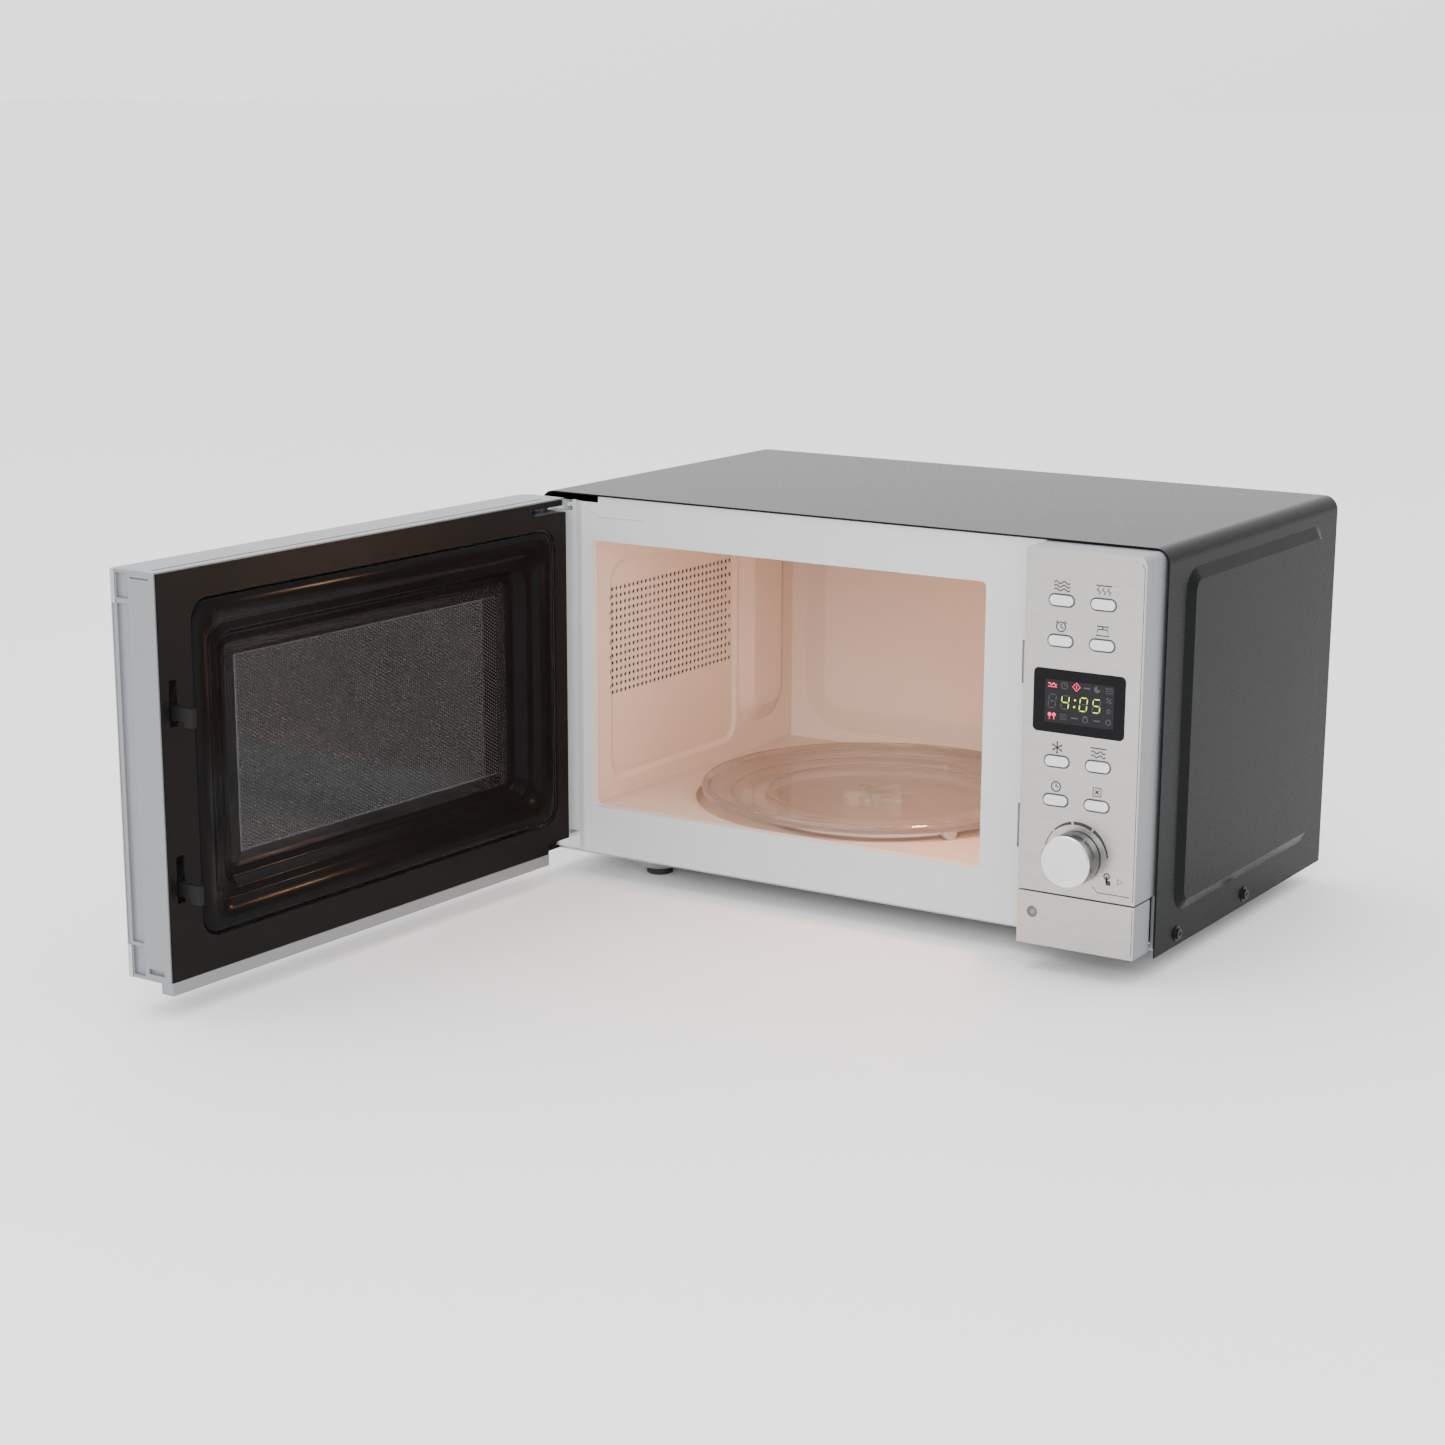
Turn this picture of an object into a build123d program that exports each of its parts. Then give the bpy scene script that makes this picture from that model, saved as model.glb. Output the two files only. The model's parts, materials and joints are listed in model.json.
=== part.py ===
"""Countertop microwave oven with grill, standing with its door open.

Millimetres. +X is right seen from the front, +Y runs to the back, +Z is up. The origin
is on the floor, under the centre of the case. The door is hinged at the left.
"""
import os
from math import cos, radians, sin

from build123d import *

# ---- driving dimensions ------
case_width = 440
case_depth = 262
case_top = 254
case_bottom = 12
cover_sheet = 0.8
case_corner = 9

opening_left, opening_right = -183, 102.5
opening_bottom, opening_top = 48.5, 224
plate_depth = 2
plate_sheet = 0.8

cavity_left, cavity_right = -184.5, 104
cavity_floor, cavity_ceiling = 48, 225.5
cavity_back = 254.5
cavity_sheet = 0.8

tray_x, tray_depth = -40, 131
tray_radius = 118.5
well_radius, well_floor = 122.5, 38

panel_left, panel_right = 142.5, 217.5
panel_bottom, panel_top = 16.5, 252.4
panel_split = 48.5
panel_face = -25.5
skin = 0.5

door_open_angle = 92
hinge_x, hinge_depth = -211.6, -17.3
door_near, door_far = -6.9, 352.6
door_outer, door_inner = -15.7, 18.3
door_bottom, door_low, door_top = 14, 20, 252

knob_x, knob_z = 179.5, 73.4
button_columns = (165.4, 191.6)
button_rows = (223.2, 199.7, 128.8, 105.6)
button_width, button_height = 15, 6

foot_x, foot_front_depth, foot_rear_depth = 153, 36, 226
screw_depths, screw_z = (31.6, 133.7), 19.5
roller_ring_radius, roller_radius, roller_width = 88, 4.7, 6
roller_angles = (90, 210, 330)

# ---- worked out ------
half_width = case_width / 2
inside = half_width - cover_sheet
front = -case_depth / 2
tray_y = front + tray_depth
axle_height = well_floor + roller_radius + 0.3
tray_underside = well_floor + 2 * roller_radius + 0.6

door = Plane(
    origin=(hinge_x, front + hinge_depth, 0),
    x_dir=(cos(radians(door_open_angle)), -sin(radians(door_open_angle)), 0),
    z_dir=(0, 0, 1),
)

os.makedirs("parts", exist_ok=True)


def at(depth):
    """The y of something this far behind the case's front edge."""
    return front + depth


def save(piece, name):
    """Label a finished piece and write it to its own file."""
    piece.part.label = name
    export_step(piece.part, f"parts/{name}.step")


def block(x0, x1, y0, y1, z0, z1, mode=Mode.ADD):
    """A box given by its lowest and highest corners."""
    with Locations(((x0 + x1) / 2, (y0 + y1) / 2, (z0 + z1) / 2)):
        Box(x1 - x0, y1 - y0, z1 - z0, mode=mode)


def rod(start, direction, radius, length, mode=Mode.ADD):
    """A round bar from a start point along a direction."""
    with Locations(Plane(origin=start, z_dir=direction)):
        Cylinder(radius, length, align=(Align.CENTER, Align.CENTER, Align.MIN), mode=mode)


def facing_front(depth):
    """Plane across the oven, looking out of its front: sketches are drawn in x and z."""
    return Plane(origin=(0, at(depth), 0), x_dir=(1, 0, 0), z_dir=(0, -1, 0))


def facing_right(x):
    """Plane along the oven's side, looking to the right: sketches are drawn in y and z."""
    return Plane(origin=(x, 0, 0), x_dir=(0, 1, 0), z_dir=(1, 0, 0))


def facing_left(x):
    """Plane along the oven's side, looking to the left: sketches are drawn in -y and z."""
    return Plane(origin=(x, 0, 0), x_dir=(0, -1, 0), z_dir=(-1, 0, 0))


def door_face(offset):
    """Plane across the door, looking out of its outside: drawn along the door and in z."""
    return Plane(origin=door.from_local_coords((0, offset, 0)), x_dir=door.x_dir, z_dir=-door.y_dir)


def window(x0, x1, z0, z1, radius):
    """A rounded rectangle given by its edges, in the sketch that is open."""
    with Locations(((x0 + x1) / 2, (z0 + z1) / 2)):
        RectangleRounded(x1 - x0, z1 - z0, radius)


# ---- case cover: a U of sheet steel with a pressed panel on each side ------
def pressed_side(plane_at, x, shrink, mode):
    """The raised panel of one side, as a tapered pad."""
    press_height, press_taper = 3.5, 63
    with BuildSketch(plane_at(x)) as field:
        with Locations((0, 136)):
            RectangleRounded(212 - shrink, 206 - shrink, 14)
    extrude(field.sketch, amount=press_height, taper=press_taper, mode=mode)


with BuildPart() as case_cover:
    with BuildSketch(facing_front(0)) as outline:
        with Locations((0, (case_top + case_bottom) / 2)):
            Rectangle(case_width, case_top - case_bottom)
        fillet(outline.vertices().group_by(Axis.Y)[-1], case_corner)
    extrude(amount=-case_depth)
    pressed_side(facing_right, half_width, 0, Mode.ADD)
    pressed_side(facing_left, -half_width, 0, Mode.ADD)
    with BuildSketch(facing_front(0)) as hollow:
        with Locations((0, (case_top - cover_sheet) / 2)):
            Rectangle(2 * inside, case_top - cover_sheet)
        fillet(hollow.vertices().group_by(Axis.Y)[-1], case_corner - cover_sheet)
    extrude(amount=-case_depth, mode=Mode.SUBTRACT)
    pressed_side(facing_right, inside, 0.6, Mode.SUBTRACT)
    pressed_side(facing_left, -inside, 0.6, Mode.SUBTRACT)
    for screw_depth in screw_depths:
        for side in (-1, 1):
            rod((side * (inside - 2), at(screw_depth), screw_z), (side, 0, 0), 2, 5, Mode.SUBTRACT)
save(case_cover, "case_cover")

# ---- base plate: a tray with turned-up edges and a pressed boss over each foot ------
base_top = case_bottom + 1
base_front, base_rear = 14, 258.8
foot_top = 5.2
with BuildPart() as base_plate:
    block(-inside, inside, at(base_front), at(base_rear), case_bottom, base_top)
    for side in (-1, 1):
        edge = side * (inside - 0.5)
        block(edge - 0.5, edge + 0.5, at(base_front), at(base_rear), base_top, 27)
    block(-inside + 1, inside - 1, at(base_front), at(base_front + 1), base_top, 17)
    for foot_depth in (foot_front_depth, foot_rear_depth):
        for side in (-1, 1):
            with Locations((side * foot_x, at(foot_depth), (foot_top + case_bottom) / 2)):
                Cone(12, 21.5, case_bottom - foot_top)
            with Locations((side * foot_x, at(foot_depth), (foot_top + base_top) / 2 + 0.6)):
                Cone(11, 20.5, base_top - foot_top, mode=Mode.SUBTRACT)
            rod((side * foot_x, at(foot_depth), foot_top - 1), (0, 0, 1), 2.5, 4, Mode.SUBTRACT)
    for screw_depth in screw_depths:
        for side in (-1, 1):
            rod((side * (inside - 2), at(screw_depth), screw_z), (side, 0, 0), 2, 5, Mode.SUBTRACT)
    with BuildSketch(Plane.XY.offset(case_bottom)):
        with Locations((162, at(150))):
            with GridLocations(8, 22, 10, 3):
                SlotOverall(16, 3, rotation=90)
    extrude(amount=2, mode=Mode.SUBTRACT)
save(base_plate, "base_plate")

# ---- feet: rubber pads, each with a stem pushed through the base plate ------
with BuildPart() as feet:
    for foot_depth in (foot_front_depth, foot_rear_depth):
        for side in (-1, 1):
            spot = (side * foot_x, at(foot_depth), 0)
            rod(spot, (0, 0, 1), 8.6, foot_top)
            rod(spot, (0, 0, 1), 2.4, foot_top + 4)
    fillet(feet.edges().filter_by(GeomType.CIRCLE).group_by(Axis.Z)[0], 1.2)
save(feet, "feet")

# ---- rear panel: flat sheet with an air intake, outlet slots and the cord's hole ------
rear_sheet = 1
gland_x, gland_z, gland_radius = 186, 42, 7
fan_x, fan_z = 166, 172
with BuildPart() as rear_panel:
    with BuildSketch(facing_front(base_rear)) as rear_outline:
        with Locations((0, (case_top - cover_sheet + base_top) / 2)):
            Rectangle(2 * inside, case_top - cover_sheet - base_top)
        fillet(rear_outline.vertices().group_by(Axis.Y)[-1], case_corner - cover_sheet)
        with Locations((fan_x, fan_z)):
            with GridLocations(7, 7, 11, 11):
                Circle(2.1, mode=Mode.SUBTRACT)
        with Locations((-120, 150)):
            with GridLocations(30, 8, 3, 9):
                SlotOverall(22, 3.4, mode=Mode.SUBTRACT)
        with Locations((gland_x, gland_z)):
            Circle(gland_radius + 0.05, mode=Mode.SUBTRACT)
    extrude(amount=-rear_sheet)
save(rear_panel, "rear_panel")

# ---- cord gland: the grommet that the supply cord would leave by ------
with BuildPart() as cord_gland:
    with Locations(Plane(origin=(gland_x, at(base_rear - 3), gland_z), z_dir=(0, 1, 0))):
        Cylinder(gland_radius, 6, align=(Align.CENTER, Align.CENTER, Align.MIN))
    rod((gland_x, at(base_rear - 3), gland_z), (0, 1, 0), gland_radius + 2, 2.9)
    rod((gland_x, at(base_rear - 4), gland_z), (0, 1, 0), 3.5, 8, Mode.SUBTRACT)
save(cord_gland, "cord_gland")

# ---- case screws: washer-head screws through the cover into the base ------
with BuildPart() as case_screws:
    for screw_depth in screw_depths:
        for side in (-1, 1):
            face = side * half_width
            rod((face, at(screw_depth), screw_z), (side, 0, 0), 4.8, 0.6)
            rod((face + side * 0.6, at(screw_depth), screw_z), (side, 0, 0), 3.3, 1.6)
            rod((face - side * 5, at(screw_depth), screw_z), (side, 0, 0), 1.9, 5)
            with Locations((face + side * 2.2, at(screw_depth), screw_z)):
                Box(1.6, 3.6, 0.9, mode=Mode.SUBTRACT)
                Box(1.6, 0.9, 3.6, mode=Mode.SUBTRACT)
save(case_screws, "case_screws")

# ---- front plate: painted sheet round the cavity's mouth, set back beside the hinge ------
plate_left, plate_right = -218.6, 141
plate_bottom, plate_top = 17, 252.5
hinge_step, step_start, step_end = 4, -190, -197
latch_slot_x = 131.5
latch_slots = ((166, 192), (66, 93))
with BuildPart() as front_plate:
    with BuildSketch(Plane.XY.offset(plate_bottom)):
        with BuildLine():
            Polyline(
                (plate_right, at(plate_depth)),
                (step_start, at(plate_depth)),
                (step_end, at(plate_depth + hinge_step)),
                (plate_left, at(plate_depth + hinge_step)),
                (plate_left, at(plate_depth + hinge_step + plate_sheet)),
                (step_end - 0.4, at(plate_depth + hinge_step + plate_sheet)),
                (step_start - 0.4, at(plate_depth + plate_sheet)),
                (plate_right, at(plate_depth + plate_sheet)),
                close=True,
            )
        make_face()
    extrude(amount=plate_top - plate_bottom)
    lip_end = base_front - 0.2
    block(step_start, plate_right, at(plate_depth), at(lip_end), plate_bottom, plate_bottom + plate_sheet)
    block(step_start, plate_right, at(plate_depth), at(12), plate_top - plate_sheet, plate_top)
    with BuildSketch(facing_front(plate_depth)):
        window(opening_left - 0.8, opening_right + 0.8, opening_bottom - 0.4, opening_top + 0.8, 4)
    extrude(amount=-7)
    with BuildSketch(facing_front(plate_depth - 1)):
        window(opening_left, opening_right, opening_bottom, opening_top, 3.2)
    extrude(amount=-12, mode=Mode.SUBTRACT)
    with BuildSketch(facing_front(plate_depth)):
        with BuildLine():
            Polyline(
                (-186, 245), (-176, 239.6), (-142, 239.6), (-142, 244.4), (-172, 244.4), (-180, 248),
                close=True,
            )
        make_face()
    extrude(amount=0.6, taper=20)
    for low, high in latch_slots:
        block(latch_slot_x - 4, latch_slot_x + 4, at(0), at(6), low, high, Mode.SUBTRACT)
    block(-200, -177, at(0), at(16), 248.6, 260, Mode.SUBTRACT)
    block(-230, -200, at(0), at(16), 241.5, 260, Mode.SUBTRACT)
    block(-230, -196, at(0), at(16), 10, 28.5, Mode.SUBTRACT)
save(front_plate, "front_plate")

# ---- cavity: the enamelled box, with a round well in its floor ------
vent_pitch, vent_hole = 4.92, 1.3
vent_first_depth, vent_first_z, vent_holes_in_row, vent_rows = 31, 118.7, 30, 15
bead_height, field_height = 6.5, 3
with BuildPart() as cavity:
    block(
        cavity_left - cavity_sheet, cavity_right + cavity_sheet,
        at(plate_depth + plate_sheet), at(cavity_back + cavity_sheet),
        cavity_floor - cavity_sheet, cavity_ceiling + cavity_sheet,
    )
    well_bottom = well_floor - cavity_sheet
    rod((tray_x, tray_y, well_bottom), (0, 0, 1), well_radius + cavity_sheet, cavity_floor - well_bottom)
    block(
        cavity_left, cavity_right, at(0), at(cavity_back), cavity_floor, cavity_ceiling, Mode.SUBTRACT,
    )
    rod((tray_x, tray_y, well_floor), (0, 0, 1), well_radius, 20, Mode.SUBTRACT)
    rod((tray_x, tray_y, 30), (0, 0, 1), 6, 20, Mode.SUBTRACT)
    # pressed-out field round the vents and the vertical bead behind it, on the left wall
    with BuildSketch(facing_left(cavity_left - cavity_sheet)):
        with Locations((-at(103), 133)):
            RectangleRounded(154, 148, 16)
    extrude(amount=2, taper=60)
    with BuildSketch(facing_left(cavity_left)):
        with Locations((-at(103), 133)):
            RectangleRounded(154, 148, 16)
    extrude(amount=2, taper=60, mode=Mode.SUBTRACT)
    for shift, mode in ((0, Mode.ADD), (-cavity_sheet, Mode.SUBTRACT)):
        with BuildSketch(facing_right(cavity_left - cavity_sheet + shift)):
            with Locations((at(212.5), 145)):
                RectangleRounded(63, 158, 26)
        extrude(amount=bead_height, taper=65, mode=mode)
    # raised field with wide sloping borders on the back wall
    for shift, mode in ((0, Mode.ADD), (cavity_sheet, Mode.SUBTRACT)):
        with BuildSketch(facing_front(cavity_back + shift)):
            with Locations((tray_x, 133)):
                RectangleRounded(264, 152, 30)
        extrude(amount=field_height, taper=80, mode=mode)
    # air outlet in the left wall: each second row is moved by one hole
    with BuildSketch(facing_right(cavity_left - 5)):
        for row in range(vent_rows):
            shift = -vent_pitch * (row % 2)
            for column in range(vent_holes_in_row):
                hole_y = at(vent_first_depth + shift + column * vent_pitch)
                with Locations((hole_y, vent_first_z + row * vent_pitch)):
                    Circle(vent_hole)
    extrude(amount=8, mode=Mode.SUBTRACT)
    # in the right wall: the wave guide's mouth, the lamp's holes and the air inlet
    block(cavity_right - 1, cavity_right + 2, at(80), at(150), 135, 175, Mode.SUBTRACT)
    with BuildSketch(facing_right(cavity_right - 1)):
        with Locations((at(206), 205)):
            with GridLocations(5, 5, 5, 4):
                Circle(1.4)
        with Locations((at(32), 150)):
            with GridLocations(6, 6, 4, 12):
                Circle(1.5)
    extrude(amount=4, mode=Mode.SUBTRACT)
    # the grill element's two ends pass through the back wall
    for heater_x in (-100, 20):
        rod((heater_x, at(cavity_back - 5), 214), (0, 1, 0), 3.8, 10, Mode.SUBTRACT)
save(cavity, "cavity")

# ---- grill: a bent element under the ceiling, and the plates that hold it ------
heater_height, heater_radius = 214, 3.2
with BuildPart() as grill_heater:
    with BuildLine() as heater_line:
        FilletPolyline(
            (-100, at(258), heater_height),
            (-100, at(70), heater_height),
            (-60, at(70), heater_height),
            (-60, at(215), heater_height),
            (-20, at(215), heater_height),
            (-20, at(70), heater_height),
            (20, at(70), heater_height),
            (20, at(258), heater_height),
            radius=18,
        )
    with BuildSketch(Plane(origin=(-100, at(258), heater_height), z_dir=(0, -1, 0))):
        Circle(heater_radius)
    sweep()
save(grill_heater, "grill_heater")

with BuildPart() as heater_clips:
    for clip_depth in (100, 190):
        block(-108, 28, at(clip_depth), at(clip_depth + 1), heater_height - 6, cavity_ceiling)
        for heater_x in (-100, -60, -20, 20):
            hole_start = (heater_x, at(clip_depth - 1), heater_height)
            rod(hole_start, (0, 1, 0), heater_radius + 0.02, 3, Mode.SUBTRACT)
save(heater_clips, "heater_clips")

# ---- wave guide, its mica cover and the magnetron ------
guide_right = 124
guide_left = cavity_right + cavity_sheet
with BuildPart() as waveguide:
    block(guide_left, guide_right, at(70), at(160), 125, 185)
    block(guide_left, guide_right - 1, at(71), at(159), 126, 184, Mode.SUBTRACT)
    rod((guide_right - 3, at(120), 155), (1, 0, 0), 10, 5, Mode.SUBTRACT)
save(waveguide, "waveguide")

with BuildPart() as mica_cover:
    with BuildSketch(facing_right(cavity_right)):
        window(at(72), at(158), 127, 183, 4)
    extrude(amount=-0.5)
save(mica_cover, "mica_cover")

with BuildPart() as magnetron:
    block(guide_right, guide_right + 1.5, at(82), at(158), 128, 182)
    block(guide_right + 1.5, guide_right + 62, at(82), at(83.5), 128, 182)
    block(guide_right + 1.5, guide_right + 62, at(156.5), at(158), 128, 182)
    block(guide_right + 62, guide_right + 63.5, at(82), at(158), 128, 182)
    rod((guide_right + 1.5, at(120), 155), (1, 0, 0), 19, 60.5)
    for fin in range(7):
        fin_x = guide_right + 14 + 5.5 * fin
        block(fin_x, fin_x + 0.8, at(88), at(152), 132, 178)
    for ring_x in (guide_right + 1.5, guide_right + 53):
        rod((ring_x, at(120), 155), (1, 0, 0), 26, 8)
    rod((guide_right - 14, at(120), 155), (1, 0, 0), 7.5, 14)
    block(guide_right + 63.5, guide_right + 82, at(100), at(140), 140, 170)
save(magnetron, "magnetron")

# ---- cooling: fan blade on its motor inside a shroud ------
fan_depth, blade_pitch = 237, 35
blade_radius, shroud_bore = 41, 44
fan_shaft_radius = 2
with BuildPart() as fan_shroud:
    block(fan_x - 49, fan_x + 49, at(base_rear - 30), at(base_rear), fan_z - 49, fan_z + 49)
    rod((fan_x, at(base_rear - 31), fan_z), (0, 1, 0), shroud_bore, 32, Mode.SUBTRACT)
    block(fan_x - 46, fan_x + 46, at(base_rear - 26), at(base_rear), fan_z - 46, fan_z + 46, Mode.SUBTRACT)
    for arm_z in (fan_z - 6, fan_z + 6):
        block(fan_x - 48, fan_x + 48, at(base_rear - 30), at(base_rear - 27), arm_z - 1.5, arm_z + 1.5)
save(fan_shroud, "fan_shroud")

with BuildPart() as fan_motor:
    block(fan_x - 24, fan_x + 24, at(base_rear - 46), at(base_rear - 30), fan_z - 18, fan_z + 18)
    block(fan_x - 30, fan_x + 30, at(base_rear - 43), at(base_rear - 33), fan_z - 24, fan_z - 18)
    block(fan_x - 13, fan_x + 13, at(base_rear - 50), at(base_rear - 46), fan_z - 13, fan_z + 13)
    rod((fan_x, at(base_rear - 30), fan_z), (0, 1, 0), fan_shaft_radius, 20)
save(fan_motor, "fan_motor")

with BuildPart() as fan_blade:
    rod((fan_x, at(fan_depth), fan_z), (0, 1, 0), 9, 14)
    for blade in range(5):
        turn = radians(72 * blade)
        radial = Vector(cos(turn), 0, sin(turn))
        tangent = Vector(-sin(turn), 0, cos(turn))
        across = tangent * cos(radians(blade_pitch)) + Vector(0, sin(radians(blade_pitch)), 0)
        middle = (fan_x, at(fan_depth + 7), fan_z)
        pitched = Plane(origin=middle, x_dir=radial, z_dir=radial.cross(across))
        with BuildSketch(pitched.offset(-0.6)):
            with Locations(((8 + blade_radius) / 2, 0)):
                RectangleRounded(blade_radius - 8, 18, 5)
        extrude(amount=1.2)
    rod((fan_x, at(fan_depth - 1), fan_z), (0, 1, 0), fan_shaft_radius + 0.05, 13.5, Mode.SUBTRACT)
save(fan_blade, "fan_blade")

# ---- power parts standing on the base plate ------
with BuildPart() as transformer:
    block(116, 204, at(118), at(178), base_top, base_top + 3)
    block(122, 198, at(124), at(172), base_top + 3, base_top + 66)
    block(130, 190, at(112), at(124), base_top + 16, base_top + 53)
    block(130, 190, at(172), at(184), base_top + 16, base_top + 53)
    fillet(transformer.edges().filter_by(Axis.Z).group_by(Axis.Y)[0], 5)
    fillet(transformer.edges().filter_by(Axis.Z).group_by(Axis.Y)[-1], 5)
save(transformer, "transformer")

with BuildPart() as capacitor:
    with BuildSketch(Plane.XY.offset(base_top)):
        with Locations((146, at(218))):
            SlotOverall(50, 30)
    extrude(amount=86)
    for tab_x in (138, 154):
        block(tab_x - 3, tab_x + 3, at(217.6), at(218.4), base_top + 86, base_top + 96)
    block(118, 174, at(202), at(203), base_top, base_top + 12)
save(capacitor, "capacitor")

with BuildPart() as filter_board:
    block(112, 206, at(60), at(118), 222, 223.6)
    block(118, 138, at(66), at(86), 223.6, 241)
    rod((156, at(76), 223.6), (0, 0, 1), 9, 14)
    block(176, 198, at(66), at(72), 223.6, 236)
    block(120, 146, at(96), at(110), 223.6, 233)
    rod((170, at(102), 223.6), (0, 0, 1), 4, 12)
    block(guide_left, 112, at(70), at(72), 214, 223.6)
    block(guide_left, 112, at(106), at(108), 214, 223.6)
save(filter_board, "filter_board")

with BuildPart() as oven_lamp:
    block(guide_left, guide_left + 14, at(190), at(222), 192, 218)
    block(guide_left, guide_left + 13, at(191), at(221), 193, 217, Mode.SUBTRACT)
    rod((guide_left + 14, at(206), 205), (1, 0, 0), 10, 16)
    rod((guide_left + 3, at(206), 205), (1, 0, 0), 6, 11)
save(oven_lamp, "oven_lamp")

# ---- turntable: motor, coupler, glass tray, roller ring ------
with BuildPart() as turntable_motor:
    rod((tray_x, tray_y, well_bottom - 15), (0, 0, 1), 24.5, 15)
    block(tray_x - 32, tray_x + 32, tray_y - 6, tray_y + 6, well_bottom - 1, well_bottom)
    fillet(turntable_motor.faces().sort_by(Axis.Z)[0].edges(), 1.5)
    rod((tray_x, tray_y, well_bottom - 6), (0, 0, 1), 3.55, 8, Mode.SUBTRACT)
save(turntable_motor, "turntable_motor")

with BuildPart() as turntable_coupler:
    rod((tray_x, tray_y, well_bottom - 5), (0, 0, 1), 3.5, 8)
    rod((tray_x, tray_y, well_floor + 1), (0, 0, 1), 9, tray_underside - well_floor - 1)
    for lobe_angle in roller_angles:
        with Locations(Plane(origin=(tray_x, tray_y, well_floor + 1)).rotated((0, 0, lobe_angle))):
            with Locations((13, 0, 4)):
                Box(14, 9, 8)
            with Locations((20, 0, 4)):
                Cylinder(4.5, 8)
save(turntable_coupler, "turntable_coupler")

tray_rim = 57.4
with BuildPart() as glass_tray:
    with BuildSketch(Plane(origin=(tray_x, tray_y, 0), x_dir=(1, 0, 0), z_dir=(0, -1, 0))):
        with BuildLine():
            Polyline(
                (0, tray_underside),
                (73, tray_underside),
                (74, tray_underside + 0.6),
                (97, tray_underside + 0.6),
                (99, tray_underside),
                (101, tray_underside + 0.8),
                (tray_radius - 4, tray_rim - 6.5),
                (tray_radius, tray_rim - 5),
                (tray_radius, tray_rim - 0.8),
                (tray_radius - 0.8, tray_rim),
                (tray_radius - 3.4, tray_rim),
                (tray_radius - 5.4, tray_rim - 3),
                (102, tray_underside + 4.6),
                (98, tray_underside + 4),
                (75, tray_underside + 4),
                (72, tray_underside + 3.4),
                (0, tray_underside + 3.4),
                close=True,
            )
        make_face()
    revolve(axis=Axis((tray_x, tray_y, 0), (0, 0, 1)))
    for lobe_angle in (30, 150, 270):
        with Locations(Plane(origin=(tray_x, tray_y, tray_underside - 4)).rotated((0, 0, lobe_angle))):
            with Locations((18, 0, 2.2)):
                Box(10, 5, 4.4)
save(glass_tray, "glass_tray")

axle_radius = 1.5
with BuildPart() as roller_ring:
    with BuildSketch(Plane.XY.offset(axle_height - 2)):
        with Locations((tray_x, tray_y)):
            Circle(roller_ring_radius - 4)
            Circle(roller_ring_radius - 11, mode=Mode.SUBTRACT)
    extrude(amount=4)
    for wheel_angle in roller_angles:
        outward = (cos(radians(wheel_angle)), sin(radians(wheel_angle)), 0)
        start = (
            tray_x + (roller_ring_radius - 8) * outward[0],
            tray_y + (roller_ring_radius - 8) * outward[1],
            axle_height,
        )
        rod(start, outward, axle_radius, 8 + roller_width / 2 + 1.5)
save(roller_ring, "roller_ring")

for number, wheel_angle in enumerate(roller_angles, start=1):
    outward = (cos(radians(wheel_angle)), sin(radians(wheel_angle)), 0)
    wheel_start = (
        tray_x + (roller_ring_radius - roller_width / 2) * outward[0],
        tray_y + (roller_ring_radius - roller_width / 2) * outward[1],
        axle_height,
    )
    with BuildPart() as roller:
        rod(wheel_start, outward, roller_radius, roller_width)
        fillet(roller.edges().filter_by(GeomType.CIRCLE), 0.6)
        rod(wheel_start, outward, axle_radius + 0.05, roller_width, Mode.SUBTRACT)
    save(roller, f"roller_{number}")

# ---- hinges: a steel bracket and pin at the top and at the bottom of the door's left edge ------
pin_radius = 2.5
pin_y = at(hinge_depth)


def hinge(bracket_z, pin_start, pin_length):
    """One bracket from behind the front plate to the pin, with the pin on it."""
    block(hinge_x - 5, hinge_x + 9, pin_y, at(plate_depth + hinge_step + 14), bracket_z, bracket_z + 2)
    rod((hinge_x, pin_y, bracket_z), (0, 0, 1), 5, 2)
    rod((hinge_x, pin_y, pin_start), (0, 0, 1), pin_radius, pin_length)
    block(
        hinge_x - 5, hinge_x + 18, at(plate_depth + hinge_step + plate_sheet),
        at(plate_depth + hinge_step + plate_sheet + 1.5), min(bracket_z, pin_start) - 8,
        max(bracket_z + 2, pin_start + pin_length) + 2,
    )


upper_bracket_z, lower_bracket_z = 244.2, 24
with BuildPart() as upper_hinge:
    hinge(upper_bracket_z, upper_bracket_z - 10, 11)
save(upper_hinge, "upper_hinge")

with BuildPart() as lower_hinge:
    hinge(lower_bracket_z, lower_bracket_z + 1, 11)
save(lower_hinge, "lower_hinge")

# ---- door frame: the moulded body of the door ------
wall = 3
frame_front = door_outer + 0.6
cover_back = door_inner - 1.4
glass_left, glass_right, glass_low, glass_high = 36, 298, 66, 212
notch_end = 28
lower_notch_end = 14.6
cover_low, cover_high = 21.5, 251.1
latch_s = latch_slot_x - hinge_x


def round_hinge_corner(body, radius):
    """Round the door's outer corner beside the hinge."""
    corner = door.from_local_coords((door_near, door_outer, 0))
    upright = body.edges().filter_by(Axis.Z)
    nearest = min(upright, key=lambda e: Vector(e.center().X - corner.X, e.center().Y - corner.Y).length)
    fillet(nearest, radius)


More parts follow.
